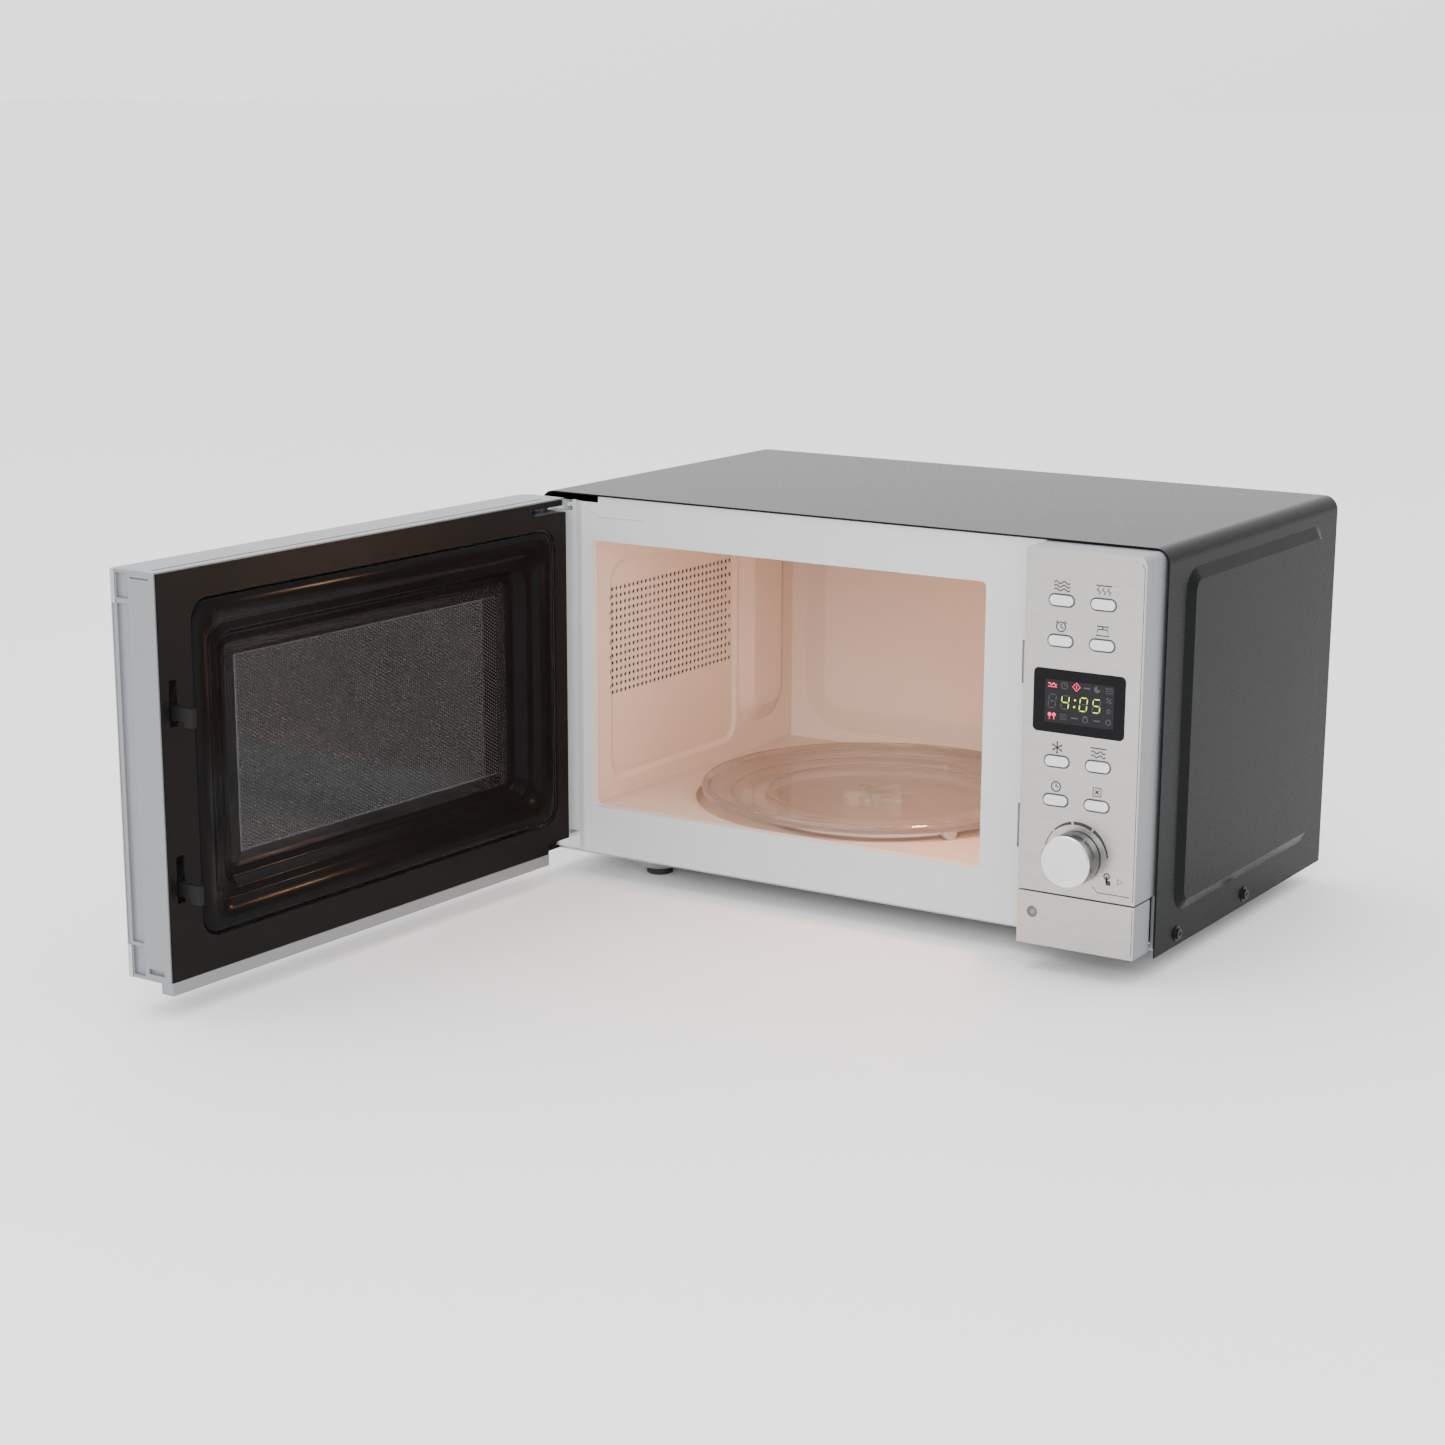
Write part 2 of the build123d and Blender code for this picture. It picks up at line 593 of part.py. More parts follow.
with BuildPart(door) as door_frame:
    block(door_near, door_far, frame_front, cover_back, door_low, door_top)
    round_hinge_corner(door_frame, 10)
    block(
        door_near + wall, door_far - wall, frame_front + wall, cover_back + 1,
        door_low + wall, door_top - wall, Mode.SUBTRACT,
    )
    # lip along the bottom of the inner side, and a groove along the top
    block(lower_notch_end, door_far, 9.5, door_inner, door_bottom, cover_low - 0.2)
    block(door_near + 14, door_far - 6, 9, 11, door_top - 0.8, door_top + 1, Mode.SUBTRACT)
    # solid hinge blocks, then their notches and bores
    block(door_near + wall, 16, -10, 12, door_top - 26, door_top - wall)
    block(door_near + wall, 16, -10, 12, door_low + wall, 46)
    block(
        door_near - 1, notch_end, -8, cover_back + 1,
        upper_bracket_z - 1, upper_bracket_z + 3.4, Mode.SUBTRACT,
    )
    block(
        door_near - 1, lower_notch_end, -8, cover_back + 1,
        door_bottom - 1, lower_bracket_z + 4, Mode.SUBTRACT,
    )
    rod((0, 0, upper_bracket_z - 12), (0, 0, 1), pin_radius + 0.05, 12, Mode.SUBTRACT)
    rod((0, 0, lower_bracket_z + 2), (0, 0, 1), pin_radius + 0.05, 12, Mode.SUBTRACT)
    # window opening
    with BuildSketch(door_face(frame_front - 1)):
        window(glass_left + 4, glass_right - 4, glass_low + 4, glass_high - 4, 4)
    extrude(amount=-6, mode=Mode.SUBTRACT)
    with BuildSketch(door_face(frame_front - 1)):
        window(glass_left, glass_right, glass_low, glass_high, 6)
    extrude(amount=-3, mode=Mode.SUBTRACT)
    # guides for the latch plate, on the wall beside it
    for guide_z in (100, 150):
        block(latch_s - 12, latch_s - 2.4, frame_front + wall, 4.6, guide_z, guide_z + 4)
    # the free edge: a long recess behind its front lip, broken by a rib, and a slot at each end
    for low, high in ((door_low + 2, 39), (41, 233), (236, door_top - 2)):
        block(door_far - 1.8, door_far + 1, frame_front + 3.2, -3, low, high, Mode.SUBTRACT)
    block(door_far - 1.2, door_far + 1, -1, 13, door_top - 4.6, door_top - 3.8, Mode.SUBTRACT)
    block(door_far - 2, door_far + 1, 0, 12, door_low + 4, door_low + 7, Mode.SUBTRACT)
save(door_frame, "door_frame")

tab_sheet, tab_height, tab_depth = 0.5, 19, 3
with BuildPart(door) as door_skin:
    block(door_near + 9.4, door_far + tab_sheet, door_outer, frame_front, door_low, door_top)
    with BuildSketch(door_face(door_outer - 1)):
        window(glass_left - 0.1, glass_right + 0.1, glass_low - 0.1, glass_high + 0.1, 6)
    extrude(amount=-4, mode=Mode.SUBTRACT)
    # a tab folded round the free edge at the top and the bottom
    for low in (door_low, door_top - tab_height):
        block(door_far, door_far + tab_sheet, frame_front, door_outer + tab_depth, low, low + tab_height)
save(door_skin, "door_skin")

with BuildPart() as door_glass:
    with BuildSketch(door_face(door_outer + 0.2)):
        window(glass_left + 0.1, glass_right - 0.1, glass_low + 0.1, glass_high - 0.1, 5.9)
    extrude(amount=-2.4)
save(door_glass, "door_glass")

# ---- door screen: the pressed metal panel, stepped back to its perforated middle ------
screen_left, screen_right, screen_low, screen_high = 50, 283.5, 80.5, 195.5
pan_left, pan_right, pan_low, pan_high = 5.5, 326.5, 42, 233
screen_sheet = 0.8
step_one, step_two = 5, 12


def pan_pocket(inset, start, depth, radius, mode):
    """One level of the stepped pan, from its rounded outline into the door."""
    with BuildSketch(door_face(start)) as level:
        window(pan_left + inset, pan_right - inset, pan_low + inset, pan_high - inset, radius)
    extrude(level.sketch, amount=depth, taper=20, mode=mode)


with BuildPart() as door_screen:
    pan_pocket(0, cover_back + 1.2, 1.6, 12, Mode.ADD)
    with BuildSketch(door_face(cover_back + 0.4)):
        window(pan_left + 15, pan_right - 15, pan_low + 15, pan_high - 15, 14)
    extrude(amount=step_one + screen_sheet, taper=20)
    with BuildSketch(door_face(cover_back + 1.2)):
        window(pan_left + 16, pan_right - 16, pan_low + 16, pan_high - 16, 13)
    extrude(amount=step_one, taper=20, mode=Mode.SUBTRACT)
    with BuildSketch(door_face(cover_back + 1.2 - step_one)):
        window(pan_left + 25, pan_right - 25, pan_low + 22, pan_high - 22, 12)
    extrude(amount=step_two - step_one + screen_sheet, taper=15)
    with BuildSketch(door_face(cover_back + 1.2 - step_one + 0.1)):
        window(pan_left + 26, pan_right - 26, pan_low + 23, pan_high - 23, 11)
    extrude(amount=step_two - step_one + 0.1, taper=15, mode=Mode.SUBTRACT)
save(door_screen, "door_screen")

with BuildPart() as door_film:
    with BuildSketch(door_face(cover_back + 1.2 - step_two + 0.3)):
        window(screen_left - 8, screen_right + 8, screen_low - 8, screen_high + 8, 5)
    extrude(amount=0.3)
save(door_film, "door_film")

# ---- choke cover: the glossy black ring that closes the door's inner side ------
with BuildPart(door) as choke_cover:
    block(door_near, door_far - 1, cover_back, door_inner, cover_low, cover_high)
    with BuildSketch(door_face(door_inner + 1)):
        window(pan_left - 1.2, pan_right + 1.2, pan_low - 1.2, pan_high + 1.2, 13.2)
    extrude(amount=4, mode=Mode.SUBTRACT)
    for low, high in latch_slots:
        block(latch_s - 3, latch_s + 3, cover_back - 1, door_inner + 1, low, high, Mode.SUBTRACT)
    block(
        door_near - 1, notch_end, cover_back - 1, door_inner + 1,
        upper_bracket_z - 1, upper_bracket_z + 3.4, Mode.SUBTRACT,
    )
    block(
        door_near - 1, lower_notch_end, cover_back - 1, door_inner + 1,
        cover_low - 1, lower_bracket_z + 4, Mode.SUBTRACT,
    )
    block(door_near - 1, -3.2, cover_back - 1, door_inner + 1, 243, cover_high + 1, Mode.SUBTRACT)
save(choke_cover, "choke_cover")

# ---- latch plate: one lifting plate that carries both hooks ------
latch_gap = 1.5
hook_reach = 15.5
with BuildPart(door) as latch_plate:
    block(latch_s - latch_gap, latch_s + latch_gap, 5, 13, 62, 190)
    hook_tip = door_inner + hook_reach
    for low, high in latch_slots:
        block(latch_s - latch_gap, latch_s + latch_gap, 13, hook_tip, low + 4, low + 12)
        block(latch_s - latch_gap, latch_s + latch_gap, hook_tip - 7, hook_tip, low + 1, low + 4)
    block(latch_s - latch_gap, latch_s + latch_gap, 6, 9, 190, 197)
save(latch_plate, "latch_plate")

with BuildPart(door) as latch_spring:
    with Locations((latch_s, 7.5, 206)):
        for turn in range(6):
            with Locations((0, 0, 2.6 * turn)):
                Torus(2.6, 0.45)
    block(latch_s - 0.4, latch_s + 0.4, 9.6, 10.6, 205.6, 219.4)
    block(latch_s - 1, latch_s + 1, 9.8, 12, 218, door_top - wall)
save(latch_spring, "latch_spring")

# ---- control panel: moulded housing with a stainless skin on its face ------
housing_face = panel_face + skin
housing_back = 5
with BuildPart() as panel_housing:
    block(panel_left, panel_right, at(housing_face), at(housing_back), panel_split + 1, panel_top)
    fillet(panel_housing.edges().filter_by(Axis.Y).group_by(Axis.Z)[-1].sort_by(Axis.X)[-1], 5)
    block(
        panel_left + 2, panel_right - 2, at(housing_face + 2.5), at(housing_back + 1),
        panel_split + 3, panel_top - 2, Mode.SUBTRACT,
    )
    with BuildSketch(facing_front(housing_face - 1)):
        window(149.2, 207.2, 145.6, 183, 3)
        for column_x in button_columns:
            for row_z in button_rows:
                with Locations((column_x, row_z)):
                    SlotOverall(button_width + 0.8, button_height + 0.8)
        with Locations((knob_x, knob_z)):
            Circle(6)
    extrude(amount=-6, mode=Mode.SUBTRACT)
    # side walls carried down behind the release button, with a floor between them
    for wall_x in (panel_left, panel_right - 2):
        block(wall_x, wall_x + 2, at(3), at(housing_back), panel_bottom, panel_split + 1)
    block(panel_left, panel_right, at(3), at(housing_back), panel_bottom, panel_bottom + 2)
save(panel_housing, "panel_housing")

with BuildPart() as panel_skin:
    block(panel_left, panel_right, at(panel_face), at(housing_face), panel_split + 1, panel_top)
    fillet(panel_skin.edges().filter_by(Axis.Y).group_by(Axis.Z)[-1].sort_by(Axis.X)[-1], 5)
    with BuildSketch(facing_front(panel_face - 1)):
        window(149.2, 207.2, 145.6, 183, 3)
        for column_x in button_columns:
            for row_z in button_rows:
                with Locations((column_x, row_z)):
                    SlotOverall(button_width + 0.8, button_height + 0.8)
        with Locations((knob_x, knob_z)):
            Circle(6)
    extrude(amount=-4, mode=Mode.SUBTRACT)
save(panel_skin, "panel_skin")

with BuildPart() as display_window:
    with BuildSketch(facing_front(panel_face + 2.6)):
        window(149.3, 207.1, 145.7, 182.9, 2.9)
    extrude(amount=3.4)
    fillet(display_window.faces().sort_by(Axis.Y)[0].edges(), 0.7)
save(display_window, "display_window")

board_depth = -11
with BuildPart() as control_board:
    block(148, 212, at(board_depth), at(board_depth + 1.6), 56, 240)
    for column_x in button_columns:
        for row_z in button_rows:
            block(column_x - 3, column_x + 3, at(board_depth - 3.5), at(board_depth), row_z - 3, row_z + 3)
    block(152, 178, at(board_depth + 1.6), at(board_depth + 13), 210, 236)
    block(184, 206, at(board_depth + 1.6), at(board_depth + 9), 186, 206)
    block(156, 166, at(board_depth + 1.6), at(board_depth + 10), 90, 116)
    for post_z in (60, 236):
        for post_x in (144.5, 212):
            block(post_x, post_x + 3.5, at(board_depth), at(board_depth + 1.6), post_z - 4, post_z + 4)
save(control_board, "control_board")

with BuildPart() as display_module:
    block(152, 204, at(panel_face + 2.8), at(board_depth), 147.6, 180.8)
save(display_module, "display_module")

# ---- rotary encoder, knob and the eight keys ------
with BuildPart() as encoder_body:
    block(knob_x - 7, knob_x + 7, at(board_depth - 7), at(board_depth), knob_z - 7, knob_z + 7)
    rod((knob_x, at(board_depth - 12), knob_z), (0, 1, 0), 4.5, 5)
    rod((knob_x, at(board_depth - 13), knob_z), (0, 1, 0), 3.05, 12, Mode.SUBTRACT)
save(encoder_body, "encoder_body")

knob_gap, knob_length = 1, 14
knob_back = panel_face - knob_gap
with BuildPart() as encoder_shaft:
    rod((knob_x, at(knob_back - 9), knob_z), (0, 1, 0), 3, board_depth - 2 - knob_back + 9)
save(encoder_shaft, "encoder_shaft")

with BuildPart() as knob:
    rod((knob_x, at(knob_back - knob_length), knob_z), (0, 1, 0), 15.6, knob_length)
    chamfer(knob.faces().sort_by(Axis.Y)[0].edges(), 0.8)
    rod((knob_x, at(knob_back - 10.5), knob_z), (0, 1, 0), 3.05, 12, Mode.SUBTRACT)
save(knob, "knob")

key_names = (
    ("key_power", 0, 0), ("key_grill", 1, 0),
    ("key_preset", 0, 1), ("key_weight", 1, 1),
    ("key_defrost", 0, 2), ("key_combi", 1, 2),
    ("key_clock", 0, 3), ("key_stop", 1, 3),
)
key_proud = 1.3
key_back = housing_face + 2.9
for key_name, column, row in key_names:
    key_x, key_z = button_columns[column], button_rows[row]
    with BuildPart() as key:
        with BuildSketch(facing_front(key_back)):
            with Locations((key_x, key_z)):
                SlotOverall(button_width, button_height)
        extrude(amount=key_back - panel_face + key_proud)
        fillet(key.faces().sort_by(Axis.Y)[0].edges(), 0.8)
        with BuildSketch(facing_front(key_back)):
            with Locations((key_x, key_z)):
                SlotOverall(button_width + 3.6, button_height + 3.6)
        extrude(amount=-1)
        rod((key_x, at(key_back + 1), key_z), (0, 1, 0), 1.8, board_depth - 6 - key_back)
    save(key, key_name)

# ---- release button: the wide block under the panel that opens the door ------
release_back = -3.4
with BuildPart() as release_button:
    block(panel_left, panel_right, at(housing_face), at(release_back), panel_bottom, panel_split)
    block(
        panel_left + 2, panel_right - 2, at(housing_face + 2.5), at(release_back + 1),
        panel_bottom + 2, panel_split - 2, Mode.SUBTRACT,
    )
    block(150, 156, at(housing_face + 2), at(0.6), 32, 38)
    with Locations((152.2, at(housing_face - 0.4), 36.2)):
        Sphere(3.2, mode=Mode.SUBTRACT)
save(release_button, "release_button")

with BuildPart() as release_skin:
    block(panel_left, panel_right, at(panel_face), at(housing_face), panel_bottom, panel_split)
    rod((152.2, at(panel_face - 1), 36.2), (0, 1, 0), 3.5, 3, Mode.SUBTRACT)
save(release_skin, "release_skin")

pivot_depth, pivot_z = 9, 52
with BuildPart() as release_lever:
    rod((129, at(pivot_depth), pivot_z), (1, 0, 0), 3, 28)
    block(149, 157, at(pivot_depth - 1.5), at(pivot_depth + 1.5), 33, pivot_z)
    block(149, 157, at(1), at(pivot_depth - 1.5), 33, 37)
    block(129, 134.5, at(pivot_depth - 1.5), at(pivot_depth + 1.5), pivot_z, 62)
    block(129, 134.5, at(pivot_depth - 1.5), at(20), 59, 62)
    rod((128, at(pivot_depth), pivot_z), (1, 0, 0), 1.55, 30, Mode.SUBTRACT)
save(release_lever, "release_lever")

# ---- latch board: carries the lever's pin and the door switches ------
with BuildPart() as latch_board:
    block(136.5, 139.5, at(plate_depth + plate_sheet), at(46), 66, 200)
    block(124.5, 127.5, at(plate_depth + plate_sheet), at(46), 44, 200)
    block(127.5, 136.5, at(43), at(46), 66, 200)
    rod((127.5, at(pivot_depth), pivot_z), (1, 0, 0), 1.5, 31)
save(latch_board, "latch_board")

with BuildPart() as door_switches:
    for switch_z in (86, 126, 172):
        block(128.6, 135.2, at(27), at(42.8), switch_z, switch_z + 20)
        block(130.6, 133.2, at(25), at(27), switch_z + 5, switch_z + 8)
        for pin_z in (switch_z + 3, switch_z + 16):
            block(130, 133.8, at(42.8), at(43), pin_z, pin_z + 1)
save(door_switches, "door_switches")
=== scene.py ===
"""Looks, detail pieces, light and camera for the countertop microwave oven."""

import json
from math import atan2, cos, pi, radians, sin

import bpy
from mathutils import Matrix, Vector


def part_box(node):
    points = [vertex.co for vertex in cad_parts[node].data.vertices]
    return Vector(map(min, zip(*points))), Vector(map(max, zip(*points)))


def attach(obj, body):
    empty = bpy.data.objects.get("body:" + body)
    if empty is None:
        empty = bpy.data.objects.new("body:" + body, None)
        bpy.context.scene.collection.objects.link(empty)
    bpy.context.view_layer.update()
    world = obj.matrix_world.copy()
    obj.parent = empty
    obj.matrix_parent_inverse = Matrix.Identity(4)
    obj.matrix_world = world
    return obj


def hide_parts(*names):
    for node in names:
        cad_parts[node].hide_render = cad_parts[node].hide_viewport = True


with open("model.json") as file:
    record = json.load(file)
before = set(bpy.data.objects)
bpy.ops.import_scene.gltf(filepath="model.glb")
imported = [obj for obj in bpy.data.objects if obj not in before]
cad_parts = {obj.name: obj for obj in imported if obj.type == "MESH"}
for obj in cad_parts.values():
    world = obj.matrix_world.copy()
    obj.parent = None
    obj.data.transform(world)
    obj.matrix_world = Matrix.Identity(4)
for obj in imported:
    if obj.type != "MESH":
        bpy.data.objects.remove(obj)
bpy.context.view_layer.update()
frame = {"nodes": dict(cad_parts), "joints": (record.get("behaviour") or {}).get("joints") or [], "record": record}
MM = 0.001

# ---- places read from the frame ------
panel_low, panel_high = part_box("panel_skin")
window_low, window_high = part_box("display_window")
knob_low, knob_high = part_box("knob")
cavity_low, cavity_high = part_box("cavity")
release_low, release_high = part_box("release_skin")
case_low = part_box("case_cover")[0]
knob_x, knob_z = (knob_low.x + knob_high.x) / 2, (knob_low.z + knob_high.z) / 2
swing = next(joint for joint in frame["joints"] if joint["name"] == "door_swing")
hinge = Vector((swing["pos_m"][0], swing["pos_m"][1], 0))
OPEN_ANGLE = radians(swing["range_deg"][1])
along = Vector((cos(OPEN_ANGLE), -sin(OPEN_ANGLE), 0))
inward = Vector((sin(OPEN_ANGLE), cos(OPEN_ANGLE), 0))


def on_door(s, z, n):
    """A point of the open door: s mm along it from the hinge, z mm up, n mm to its inner side."""
    return hinge + (along * s + inward * n + Vector((0, 0, z))) * MM


# ---- materials ------
def shader_of(name):
    """A new node material: its tree, its shader and the object's own coordinates."""
    material = bpy.data.materials.new(name)
    material.use_nodes = True
    tree = material.node_tree
    place = tree.nodes.new("ShaderNodeTexCoord").outputs["Object"]
    return material, tree, tree.nodes["Principled BSDF"], place


def noise(tree, vector, scale, detail=4, stretch=(1, 1, 1)):
    """Noise over the object's coordinates, stretched along its axes."""
    mapping = tree.nodes.new("ShaderNodeMapping")
    mapping.inputs["Scale"].default_value = stretch
    tree.links.new(vector, mapping.inputs["Vector"])
    texture = tree.nodes.new("ShaderNodeTexNoise")
    texture.inputs["Scale"].default_value = scale
    texture.inputs["Detail"].default_value = detail
    tree.links.new(mapping.outputs["Vector"], texture.inputs["Vector"])
    return texture.outputs["Fac"]


def spread(tree, value, low, high):
    """The noise's middle range spread over low to high."""
    node = tree.nodes.new("ShaderNodeMapRange")
    node.inputs["From Min"].default_value = 0.3
    node.inputs["From Max"].default_value = 0.7
    node.inputs["To Min"].default_value = low
    node.inputs["To Max"].default_value = high
    tree.links.new(value, node.inputs["Value"])
    return node.outputs["Result"]


def blend_colours(tree, value, low, high):
    """A colour between two shades by a value from 0 to 1."""
    node = tree.nodes.new("ShaderNodeMix")
    node.data_type = "RGBA"
    node.inputs["A"].default_value = (*low, 1)
    node.inputs["B"].default_value = (*high, 1)
    tree.links.new(value, node.inputs["Factor"])
    return node.outputs["Result"]


def finish(name, low, high, rough, patch=25, grain=900, stretch=(1, 1, 1), relief=0.1, height=0.05,
           edge=0.0, **sockets):
    """A surface with soft patches of two shades, uneven roughness and a fine relief.

    patch and grain are noise scales per metre, height is the relief's depth in mm, and edge
    is the radius in mm that sharp edges are shaded with.
    """
    material, tree, shader, place = shader_of(name)
    patches = noise(tree, place, patch, stretch=stretch)
    fine = noise(tree, place, grain, detail=6, stretch=stretch)
    tree.links.new(blend_colours(tree, patches, low, high), shader.inputs["Base Color"])
    tree.links.new(spread(tree, fine, *rough), shader.inputs["Roughness"])
    bump = tree.nodes.new("ShaderNodeBump")
    bump.inputs["Strength"].default_value = relief
    bump.inputs["Distance"].default_value = height * MM
    tree.links.new(fine, bump.inputs["Height"])
    if edge:
        bevel = tree.nodes.new("ShaderNodeBevel")
        bevel.samples = 4
        bevel.inputs["Radius"].default_value = edge * MM
        tree.links.new(bevel.outputs["Normal"], bump.inputs["Normal"])
    tree.links.new(bump.outputs["Normal"], shader.inputs["Normal"])
    for socket, value in sockets.items():
        shader.inputs[socket.replace("_", " ")].default_value = value
    return material


def spun_finish(name, low, high, side, rough, centre):
    """Turned metal: fine rings round an axis that runs front to back, and painted shade on the side: faces that
    turn away from the front get the darker side colour, standing in for the dark studio the side reflects.
    """
    material, tree, shader, place = shader_of(name)
    shift = tree.nodes.new("ShaderNodeMapping")
    shift.inputs["Location"].default_value = (-centre[0], 0, -centre[1])
    shift.inputs["Scale"].default_value = (1, 0, 1)
    tree.links.new(place, shift.inputs["Vector"])
    radius = tree.nodes.new("ShaderNodeVectorMath")
    radius.operation = "LENGTH"
    tree.links.new(shift.outputs["Vector"], radius.inputs[0])
    rings = noise(tree, radius.outputs["Value"], 900, detail=5)
    side_shade_mask = tree.nodes.new("ShaderNodeVectorMath")
    side_shade_mask.operation = "DOT_PRODUCT"
    side_shade_mask.inputs[1].default_value = (0, -1, 0)
    tree.links.new(tree.nodes.new("ShaderNodeNewGeometry").outputs["Normal"], side_shade_mask.inputs[0])
    # painted shade: the side colour goes where the surface turns away from the front
    wall = tree.nodes.new("ShaderNodeMix")
    wall.data_type = "RGBA"
    wall.inputs["A"].default_value = (*side, 1)
    tree.links.new(spread(tree, side_shade_mask.outputs["Value"], 0, 1), wall.inputs["Factor"])
    tree.links.new(blend_colours(tree, rings, low, high), wall.inputs["B"])
    tree.links.new(wall.outputs["Result"], shader.inputs["Base Color"])
    tree.links.new(spread(tree, rings, *rough), shader.inputs["Roughness"])
    bump = tree.nodes.new("ShaderNodeBump")
    bump.inputs["Strength"].default_value = 0.25
    bump.inputs["Distance"].default_value = 0.03 * MM
    tree.links.new(rings, bump.inputs["Height"])
    tree.links.new(bump.outputs["Normal"], shader.inputs["Normal"])
    tangent = tree.nodes.new("ShaderNodeTangent")
    tangent.direction_type = "RADIAL"
    tangent.axis = "Y"
    tree.links.new(tangent.outputs["Tangent"], shader.inputs["Tangent"])
    shader.inputs["Metallic"].default_value = 1.0
    shader.inputs["Anisotropic"].default_value = 0.7
    return material


BRUSHED_X = (0.03, 1, 1)
finishes = {
    "case_black": finish(
        "case_black", (0.008, 0.0085, 0.009), (0.011, 0.0115, 0.012), (0.22, 0.29),
        grain=700, relief=0.12, height=0.05, edge=0.8, Specular_IOR_Level=0.04,
    ),
    "plate_paint": finish(
        "plate_paint", (0.55, 0.56, 0.575), (0.57, 0.58, 0.595), (0.34, 0.42), grain=800,
        relief=0.08, edge=0.4,
    ),
    "enamel": finish(
        "enamel", (0.61, 0.495, 0.42), (0.63, 0.515, 0.44), (0.2, 0.27), grain=300, relief=0.02,
        edge=1.6,
    ),
    "zinc_sheet": finish(
        "zinc_sheet", (0.40, 0.41, 0.42), (0.56, 0.57, 0.58), (0.32, 0.5), patch=120,
        Metallic=0.9, edge=0.3,
    ),
    "stainless": finish(
        "stainless", (0.43, 0.422, 0.40), (0.49, 0.482, 0.46), (0.24, 0.38), patch=320, grain=2600,
        stretch=BRUSHED_X, relief=0.16, height=0.03, edge=0.25, Metallic=1.0,
    ),
    "hinge_steel": finish(
        "hinge_steel", (0.58, 0.59, 0.6), (0.70, 0.71, 0.72), (0.2, 0.32), patch=90, edge=0.3,
        Metallic=1.0,
    ),
    "screw_black": finish(
        "screw_black", (0.006, 0.006, 0.006), (0.01, 0.01, 0.01), (0.3, 0.4), edge=0.3,
        Specular_IOR_Level=0.2,
    ),
    "panel_plastic": finish(
        "panel_plastic", (0.20, 0.21, 0.225), (0.225, 0.235, 0.25), (0.36, 0.5), grain=1600,
        relief=0.35,
        height=0.08, edge=0.5, Metallic=0.3,
    ),
    "choke_black": finish(
        "choke_black", (0.007, 0.0065, 0.006), (0.009, 0.0085, 0.008), (0.38, 0.42), grain=60,
        relief=0,
        edge=0.6, Specular_IOR_Level=0.05,
    ),
    "screen_black": finish(
        "screen_black", (0.004, 0.004, 0.004), (0.006, 0.006, 0.006), (0.12, 0.18), grain=250,
        relief=0,
        Specular_IOR_Level=0.045,
    ),
    "clear_glass": finish(
        "clear_glass", (0.80, 0.765, 0.735), (0.83, 0.795, 0.765), (0.02, 0.05), grain=160,
        relief=0.06, height=0.2,
        Transmission_Weight=1.0, IOR=1.5, Alpha=0.7,
    ),
    "dark_glass": finish(
        "dark_glass", (0.02, 0.02, 0.021), (0.025, 0.025, 0.026), (0.03, 0.06), grain=60, relief=0,
        Alpha=0.72,
    ),
    "clear_film": finish(
        "clear_film", (0.05, 0.05, 0.05), (0.06, 0.06, 0.06), (0.04, 0.08), grain=60, relief=0,
        Alpha=0.1,
    ),
    "latch_black": finish(
        "latch_black", (0.006, 0.006, 0.006), (0.009, 0.009, 0.009), (0.35, 0.5), relief=0.2,
        edge=0.3,
        Specular_IOR_Level=0.12,
    ),
    "silver_plastic": finish(
        "silver_plastic", (0.66, 0.67, 0.69), (0.70, 0.71, 0.73), (0.26, 0.34), grain=1200,
        edge=0.2,
        Metallic=0.35, Coat_Weight=0.3, Coat_Roughness=0.15,
    ),
    "spun_aluminium": spun_finish(
        # the third colour is the painted shade on the knob's side
        "spun_aluminium", (0.66, 0.665, 0.68), (0.78, 0.785, 0.80), (0.12, 0.122, 0.126),
        (0.2, 0.32),
        (knob_x, knob_z),
    ),
    "spring_steel": finish(
        "spring_steel", (0.5, 0.5, 0.5), (0.62, 0.62, 0.62), (0.22, 0.34), Metallic=1.0,
    ),
    "white_plastic": finish(
        "white_plastic", (0.72, 0.71, 0.68), (0.77, 0.76, 0.73), (0.35, 0.5), edge=0.3,
        Subsurface_Weight=0.1, Subsurface_Scale=0.002,
    ),
    "display_black": finish(
        "display_black", (0.004, 0.004, 0.005), (0.006, 0.006, 0.007), (0.2, 0.28), grain=400,
        relief=0.05,
        Specular_IOR_Level=0.1,
    ),
    "circuit_board": finish(
        "circuit_board", (0.03, 0.16, 0.07), (0.05, 0.22, 0.1), (0.3, 0.5), patch=600, grain=1500,
        relief=0.4,
    ),
    "lamination_steel": finish(
        "lamination_steel", (0.10, 0.10, 0.105), (0.2, 0.2, 0.21), (0.4, 0.6), patch=300,
        stretch=(0.05, 0.05, 1),
        Metallic=0.8,
    ),
    "aluminium_can": finish(
        "aluminium_can", (0.55, 0.55, 0.56), (0.68, 0.68, 0.69), (0.28, 0.42), patch=150,
        Metallic=1.0,
    ),
    "mica": finish(
        "mica", (0.52, 0.46, 0.36), (0.66, 0.60, 0.5), (0.4, 0.6), patch=140, stretch=(1, 0.2, 1),
        relief=0.3,
    ),
    "heater_sheath": finish(
        "heater_sheath", (0.22, 0.20, 0.18), (0.42, 0.40, 0.38), (0.35, 0.55), patch=60,
        Metallic=0.8,
    ),
    "foot_rubber": finish(
        "foot_rubber", (0.010, 0.010, 0.010), (0.02, 0.02, 0.02), (0.6, 0.8), relief=0.4,
    ),
}

for part in frame["record"]["subparts"]:
    mesh = frame["nodes"][part["node"]].data
    mesh.materials.clear()
    mesh.materials.append(finishes[part["material_slot"]])


# ---- pieces from points and faces ------
def piece(name, points, faces, material, body):
    """A mesh piece that rides on a body, with the given material."""
    mesh = bpy.data.meshes.new(name)
    mesh.from_pydata([tuple(point) for point in points], [], faces)
    mesh.update()
    mesh.materials.append(material)
    obj = bpy.data.objects.new(name, mesh)
    bpy.context.scene.collection.objects.link(obj)
    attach(obj, body)
    return obj


